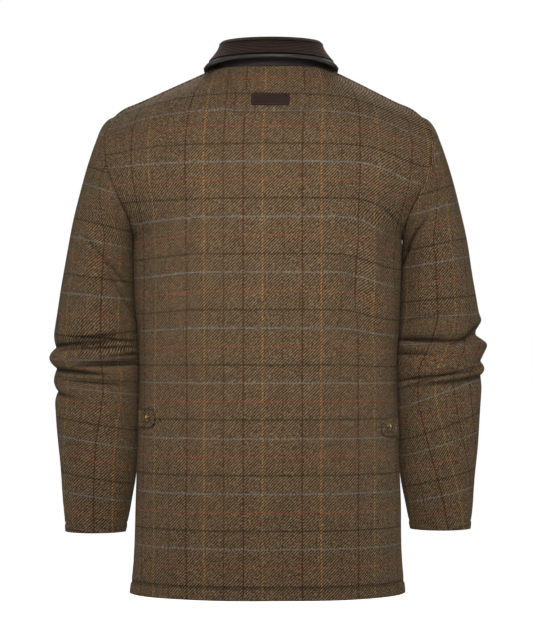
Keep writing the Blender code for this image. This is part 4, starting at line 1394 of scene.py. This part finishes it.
def shader_group(name, inputs, outputs):
    """Empty shader group with its named sockets, its desk and its first and last nodes."""
    tree = bpy.data.node_groups.new(name, "ShaderNodeTree")
    for label, kind in inputs:
        tree.interface.new_socket(name=label, in_out="INPUT", socket_type=kind)
    for label, kind in outputs:
        tree.interface.new_socket(name=label, in_out="OUTPUT", socket_type=kind)
    return Desk(tree), tree.nodes.new("NodeGroupInput"), tree.nodes.new("NodeGroupOutput")


NUMBER, COLOUR, VECTOR = "NodeSocketFloat", "NodeSocketColor", "NodeSocketVector"
# Painted shade: the tweed's colour is multiplied by this where the mesh is marked in creases, seam grooves
# and along the rims of pieces laid on the back
CREASE_SHADE_TINT = (0.36, 0.34, 0.33, 1)
YARNS = ("warp", "weft", "fleck", "shade", "gold", "oxblood", "russet", "blue", "rust", "bottle")


def twill_group():
    """Two-and-two twill of mixed yarns with an overcheck: its colour and the height of its yarns."""
    found = bpy.data.node_groups.get("checked_twill")
    if found:
        return found
    inputs = [("Cloth", VECTOR), ("Yarn", NUMBER), ("Check Width", NUMBER), ("Check Height", NUMBER)]
    inputs += [(name, COLOUR) for name in YARNS]
    desk, first, last = shader_group("checked_twill", inputs, [("Color", COLOUR), ("Height", NUMBER)])
    given = first.outputs
    split = desk.add("ShaderNodeSeparateXYZ", {"Vector": given["Cloth"]})
    across, along = split.outputs["X"], split.outputs["Y"]
    warp_place = desk.maths("DIVIDE", across, given["Yarn"])
    weft_place = desk.maths("DIVIDE", along, given["Yarn"])
    warp_count = desk.maths("FLOOR", warp_place)
    weft_count = desk.maths("FLOOR", weft_place)
    step = desk.maths("FLOORED_MODULO", desk.maths("SUBTRACT", warp_count, weft_count), 4.0)
    warp_shows = desk.maths("LESS_THAN", step, 1.5)

    def yarn(count, place, base, offset):
        """Colour of one yarn, which changes every few millimetres along it."""
        start = desk.maths("MULTIPLY", count, 0.37)
        piece = desk.maths("FLOOR", desk.maths("MULTIPLY_ADD", place, 0.4, start))
        spot = desk.vector(count, piece, offset)
        chance = desk.add("ShaderNodeTexWhiteNoise", {"Vector": spot}).outputs["Value"]
        pale = desk.maths("MULTIPLY", desk.maths("GREATER_THAN", chance, 0.84), 0.5)
        dark = desk.maths("MULTIPLY", desk.maths("LESS_THAN", chance, 0.18), 0.55)
        mixed = desk.blend(pale, base, given["fleck"])
        return desk.blend(dark, mixed, given["shade"])

    def line(count, repeat, start, share, width):
        """Where a line of the check runs, counted in whole yarns."""
        place = desk.maths("MULTIPLY_ADD", count, given["Yarn"], start * MM + 0.01)
        place = desk.maths("FLOORED_MODULO", place, repeat)
        centre = desk.maths("MULTIPLY_ADD", repeat, share, 0.01)
        return desk.maths("COMPARE", place, centre, desk.maths("MULTIPLY", given["Yarn"], width))

    warp = yarn(warp_count, weft_place, given["warp"], 3.0)
    for name, share, width, strength in (("gold", 0.0, 1.0, 0.95), ("russet", 1 / 3, 0.55, 0.9),
                                         ("oxblood", 2 / 3, 1.0, 0.95)):
        shows = line(warp_count, given["Check Width"], CHECK_WARP_START, share, width)
        warp = desk.blend(desk.maths("MULTIPLY", shows, strength), warp, given[name])
    weft = yarn(weft_count, warp_place, given["weft"], 7.0)
    for name, share, width, strength in (("blue", 0.0, 1.0, 0.95), ("bottle", 1 / 3, 1.5, 0.95),
                                         ("rust", 2 / 3, 1.0, 0.95)):
        shows = line(weft_count, given["Check Height"], CHECK_WEFT_START, share, width)
        weft = desk.blend(desk.maths("MULTIPLY", shows, strength), weft, given[name])
    woven = desk.blend(warp_shows, weft, warp)
    dark_line = line(weft_count, given["Check Height"], CHECK_WEFT_START, 1 / 3, 1.0)
    woven = desk.blend(desk.maths("MULTIPLY", dark_line, 0.38), woven, given["bottle"])
    worn = desk.between(desk.noise(given["Cloth"], 26.0, 3.0), 0.86, 1.14)
    heather = desk.between(desk.noise(given["Cloth"], 330.0, 2.0), -0.2, 2.2)
    worn = desk.maths("MULTIPLY", worn, heather)
    desk.feed(last.inputs["Color"], desk.blend(1.0, woven, desk.vector(worn, worn, worn), "MULTIPLY"))

    def round_yarn(place):
        return desk.maths("SINE", desk.maths("MULTIPLY", desk.maths("FRACT", place), math.pi))

    over = desk.maths("MULTIPLY", round_yarn(warp_place), warp_shows)
    under = desk.maths("MULTIPLY", round_yarn(weft_place), desk.maths("SUBTRACT", 1.0, warp_shows))
    fuzz = desk.noise(given["Cloth"], 2400.0, 2.0)
    desk.feed(last.inputs["Height"], desk.maths("MULTIPLY_ADD", fuzz, 0.5, desk.maths("ADD", over, under)))
    return desk.tree


def grain_group():
    """Leather grain: creases between small pebbles, and broad worn patches."""
    found = bpy.data.node_groups.get("hide_grain")
    if found:
        return found
    inputs = [("Place", VECTOR), ("Scale", NUMBER)]
    desk, first, last = shader_group("hide_grain", inputs, [("Pebble", NUMBER), ("Worn", NUMBER)])
    given = first.outputs
    bent = desk.add("ShaderNodeTexNoise", {"Vector": given["Place"], "Scale": 120.0, "Detail": 2.0})
    shift = desk.add("ShaderNodeVectorMath", operation="MULTIPLY_ADD")
    desk.feed(shift.inputs[0], bent.outputs["Color"])
    desk.feed(shift.inputs[1], (0.003, 0.003, 0.003))
    desk.feed(shift.inputs[2], given["Place"])
    cells = desk.add("ShaderNodeTexVoronoi", {"Vector": shift.outputs["Vector"], "Scale": given["Scale"]},
                     feature="DISTANCE_TO_EDGE")
    pebble = desk.add("ShaderNodeMapRange", {"Value": cells.outputs["Distance"], "From Max": 0.18})
    desk.feed(last.inputs["Pebble"], pebble.outputs["Result"])
    desk.feed(last.inputs["Worn"], desk.noise(given["Place"], 90.0, 4.0))
    return desk.tree


def new_finish(name):
    """New material, its desk and its shader, or the material alone if it is there already."""
    found = bpy.data.materials.get(name)
    if found:
        return found, None, None
    made = bpy.data.materials.new(name)
    made.use_nodes = True
    return made, Desk(made.node_tree), made.node_tree.nodes["Principled BSDF"]


def shaded(base, factor=1.0):
    return (*[c * factor for c in base], 1.0)


def tweed_finish():
    made, desk, shader = new_finish("checked_tweed")
    if desk is None:
        return made
    values = {"Cloth": desk.cloth(), "Yarn": sizes().yarn, "Check Width": sizes().check_width,
              "Check Height": sizes().check_height}
    values.update({name: shaded(getattr(colours(), name)) for name in YARNS})
    twill = desk.add("ShaderNodeGroup", values, node_tree=twill_group()).outputs
    desk.fill(shader, {
        # Painted shade in the creases, seams and patch rims, multiplied into the twill's colour
        "Base Color": desk.blend(desk.marked("creased"), twill["Color"], CREASE_SHADE_TINT, "MULTIPLY"),
        "Roughness": desk.between(twill["Height"], 0.98, 0.82),
        "Normal": desk.bump(twill["Height"], 0.9, 0.4),
        "Specular IOR Level": 0.18,
        "Sheen Weight": 0.06,
        "Sheen Roughness": 0.55,
        "Sheen Tint": (0.8, 0.68, 0.52, 1),
    })
    return made


def corduroy_finish():
    made, desk, shader = new_finish("collar_corduroy")
    if desk is None:
        return made
    cloth = desk.cloth()
    split = desk.add("ShaderNodeSeparateXYZ", {"Vector": cloth}).outputs
    turn = desk.maths("MULTIPLY", split["Y"], math.pi / sizes().rib)
    rib = desk.maths("ABSOLUTE", desk.maths("SINE", turn))
    stretched = desk.vector(desk.maths("MULTIPLY", split["X"], 0.35), split["Y"])
    pile = desk.noise(stretched, 1500.0, 3.0)
    brushed = desk.noise(cloth, 60.0, 3.0)
    base = colours().corduroy
    ridge = desk.blend(pile, shaded(base, 0.8), shaded(base, 1.9))
    ridge = desk.blend(desk.between(brushed, 0.0, 0.5), ridge, shaded(base, 0.7))
    # shown is 0 in the grooves between the ribs, which are painted near black as painted shade
    shown = desk.add("ShaderNodeMapRange", {"Value": rib, "From Min": 0.3, "From Max": 0.9}).outputs["Result"]
    desk.fill(shader, {
        "Base Color": desk.blend(shown, shaded(base, 0.06), ridge),
        "Roughness": desk.between(pile, 0.98, 0.8),
        "Normal": desk.bump(desk.maths("MULTIPLY_ADD", pile, 0.5, rib), 0.5, 0.5),
        "Specular IOR Level": 0.15,
        "Sheen Weight": 0.35,
        "Sheen Roughness": 0.4,
        "Sheen Tint": (0.7, 0.5, 0.42, 1),
    })
    return made


def leather_finish(name, base, roughness, specular):
    made, desk, shader = new_finish(name)
    if desk is None:
        return made
    inputs = {"Place": desk.cloth(), "Scale": 900.0}
    grain = desk.add("ShaderNodeGroup", inputs, node_tree=grain_group()).outputs
    top = desk.blend(grain["Worn"], shaded(base, 0.7), shaded(base, 1.45))
    desk.fill(shader, {
        "Base Color": desk.blend(grain["Pebble"], shaded(base, 0.4), top),
        "Roughness": desk.between(grain["Worn"], roughness + 0.12, roughness - 0.1),
        "Normal": desk.bump(grain["Pebble"], 0.35, 0.15),
        "Specular IOR Level": specular,
    })
    return made


def brass_finish():
    made, desk, shader = new_finish("aged_brass")
    if desk is None:
        return made
    where = desk.where()
    tarnish = desk.noise(where, 420.0, 5.0)
    base = colours().brass
    bright = desk.blend(tarnish, shaded(base), shaded(base, 0.45))
    # Painted shade: the brass darkens towards the base of each cap and stud, leaving the domed top bright
    desk.fill(shader, {
        "Base Color": desk.blend(desk.marked("sunk"), bright, shaded(base, 0.1)),
        "Roughness": desk.between(tarnish, 0.14, 0.3),
        "Normal": desk.bump(desk.noise(where, 2600.0, 3.0), 0.15, 0.05),
        "Metallic": 1.0,
    })
    return made


def horn_finish():
    made, desk, shader = new_finish("buffalo_horn")
    if desk is None:
        return made
    inputs = {"Vector": desk.where(), "Scale": (1.0, 1.0, 0.25)}
    streaks = desk.noise(desk.add("ShaderNodeMapping", inputs).outputs["Vector"], 320.0, 5.0)
    base = colours().horn
    desk.fill(shader, {
        "Base Color": desk.blend(streaks, shaded(base, 0.35), shaded(base, 1.9)),
        "Roughness": desk.between(streaks, 0.45, 0.62),
        "Normal": desk.bump(streaks, 0.1, 0.05),
        "Coat Weight": 0.05,
    })
    return made


def thread_finish():
    made, desk, shader = new_finish("sewing_thread")
    if desk is None:
        return made
    twist = desk.noise(desk.where(), 1800.0, 2.0)
    base = colours().sewing
    desk.fill(shader, {
        "Base Color": desk.blend(twist, shaded(base, 0.6), shaded(base, 1.4)),
        "Roughness": desk.between(twist, 0.9, 0.7),
        "Normal": desk.bump(twist, 0.4, 0.1),
    })
    return made


def floor_finish():
    made, desk, shader = new_finish("pale_floor")
    if desk is None:
        return made
    cloud = desk.noise(desk.where(), 1.5, 3.0)
    base = colours().floor
    seen = desk.add("ShaderNodeLightPath").outputs["Is Camera Ray"]
    desk.fill(shader, {
        "Base Color": desk.blend(cloud, shaded(base), shaded(base, 0.985)),
        "Roughness": 0.9,
        "Emission Color": (1, 1, 1, 1),
        "Emission Strength": desk.between(seen, 0.02, 0.96),
    })
    return made


# Stage


def make_floor():
    half, height = 9.0, -1.05
    mesh = bpy.data.meshes.new("floor")
    corners = [(-half, -half, height), (half, -half, height), (half, half, height), (-half, half, height)]
    mesh.from_pydata(corners, [], [(0, 1, 2, 3)])
    mesh.materials.append(floor_finish())
    made = linked("floor", mesh)


def soft_light(name, place_at, aim, size, power, spread):
    lamp = bpy.data.lights.new(name, "AREA")
    lamp.shape = "RECTANGLE"
    lamp.size, lamp.size_y = size
    lamp.energy = power
    lamp.spread = math.radians(spread)
    made = linked(name, lamp)
    made.location = place_at
    made.rotation_euler = (Vector(aim) - Vector(place_at)).to_track_quat("-Z", "Y").to_euler()


def make_world():
    """White round about, as the camera sees it, and a dimmer even light on the cloth."""
    world = bpy.data.worlds.new("studio")
    world.use_nodes = True
    desk = Desk(world.node_tree)
    plain = world.node_tree.nodes["Background"]
    plain.inputs["Color"].default_value = (1, 1, 1, 1)
    seen = desk.add("ShaderNodeLightPath").outputs["Is Camera Ray"]
    desk.feed(plain.inputs["Strength"], desk.between(seen, 0.07, 1.0))
    bpy.context.scene.world = world


def make_camera():
    distance, aim_x, aim_z = 3.5, -0.0022, -0.3538
    pixel, picture_height = 1.45, 640
    lens = bpy.data.cameras.new("camera")
    lens.sensor_fit = "VERTICAL"
    lens.sensor_height = 24.0
    lens.lens = lens.sensor_height * distance / (picture_height * pixel * MM)
    lens.clip_end = 60
    made = linked("camera", lens)
    made.location = (aim_x, -distance, aim_z)
    made.rotation_euler = (math.pi / 2, 0, 0)
    bpy.context.scene.camera = made


# Operators


class JACKET_OT_body(bpy.types.Operator):
    """Make the back and the two fronts with their hems."""

    bl_idname = "jacket.body"
    bl_label = "Body"

    def execute(self, context):
        make_back()
        for side in SIDES:
            make_front(side)
        return {"FINISHED"}


class JACKET_OT_sleeves(bpy.types.Operator):
    """Make the two sleeves with their folds and cuffs."""

    bl_idname = "jacket.sleeves"
    bl_label = "Sleeves"

    def execute(self, context):
        for side in SIDES:
            make_sleeve(side)
        return {"FINISHED"}


class JACKET_OT_collar(bpy.types.Operator):
    """Make the ribbed corduroy collar and its leather under collar."""

    bl_idname = "jacket.collar"
    bl_label = "Collar"

    def execute(self, context):
        make_collar()
        return {"FINISHED"}


class JACKET_OT_label(bpy.types.Operator):
    """Make the hang strip and the bare leather label on it."""

    bl_idname = "jacket.label"
    bl_label = "Label"

    def execute(self, context):
        make_label()
        return {"FINISHED"}


class JACKET_OT_tabs(bpy.types.Operator):
    """Make the side tabs, their caps and their spare studs."""

    bl_idname = "jacket.tabs"
    bl_label = "Side tabs"

    def execute(self, context):
        for side in SIDES:
            make_tab(side)
        make_tab_metal()
        return {"FINISHED"}


class JACKET_OT_buttons(bpy.types.Operator):
    """Make the horn buttons of the front and the thread that holds them."""

    bl_idname = "jacket.buttons"
    bl_label = "Buttons"

    def execute(self, context):
        make_buttons()
        return {"FINISHED"}


class JACKET_OT_stage(bpy.types.Operator):
    """Make the floor, the lights and the camera."""

    bl_idname = "jacket.stage"
    bl_label = "Stage"

    def execute(self, context):
        make_floor()
        make_world()
        soft_light("key", (0.0, -1.6, 0.5), (0, 0, -0.5), (0.7, 0.5), 1.86, 46)
        soft_light("low_fill", (0.0, -2.0, -0.3), (0, 0, 0.12), (1.0, 0.4), 0.75, 44)
        for side, word in SIDES.items():
            soft_light(f"{word}_box", (1.75 * side, -1.25, 0.5), (0, 0, -0.1), (0.7, 1.2), 2.5, 180)
        for side, word in SIDES.items():
            soft_light(f"{word}_rim", (1.5 * side, 0.35, 0.1), (0, 0, -0.3), (0.5, 1.2), 3, 180)
        soft_light("far_side", (0.0, 1.55, 1.15), (0, 0, -0.25), (1.0, 0.7), 32, 180)
        make_camera()
        bpy.context.scene.view_settings.view_transform = "Standard"
        return {"FINISHED"}


MAKERS = (JACKET_OT_body, JACKET_OT_sleeves, JACKET_OT_collar, JACKET_OT_label, JACKET_OT_tabs,
          JACKET_OT_buttons, JACKET_OT_stage)


class JACKET_PT_panel(bpy.types.Panel):
    """Sizes, colours and makers of the jacket."""

    bl_label = "Jacket"
    bl_idname = "JACKET_PT_panel"
    bl_space_type = "VIEW_3D"
    bl_region_type = "UI"
    bl_category = "Jacket"

    def draw(self, context):
        for group in (context.scene.jacket_sizes, context.scene.jacket_colours):
            box = self.layout.box()
            for name in group.bl_rna.properties.keys():
                if name not in {"rna_type", "name"}:
                    box.prop(group, name)
        for maker in MAKERS:
            self.layout.operator(maker.bl_idname)


CLASSES = (JacketSizes, JacketColours, *MAKERS, JACKET_PT_panel)


def register():
    for made in CLASSES:
        bpy.utils.register_class(made)
    bpy.types.Scene.jacket_sizes = PointerProperty(type=JacketSizes)
    bpy.types.Scene.jacket_colours = PointerProperty(type=JacketColours)


def unregister():
    del bpy.types.Scene.jacket_colours
    del bpy.types.Scene.jacket_sizes
    for made in reversed(CLASSES):
        bpy.utils.unregister_class(made)


def main():
    register()
    bpy.ops.jacket.body()
    bpy.ops.jacket.sleeves()
    bpy.ops.jacket.collar()
    bpy.ops.jacket.label()
    bpy.ops.jacket.tabs()
    bpy.ops.jacket.buttons()
    bpy.ops.jacket.stage()


if __name__ == "__main__":
    main()
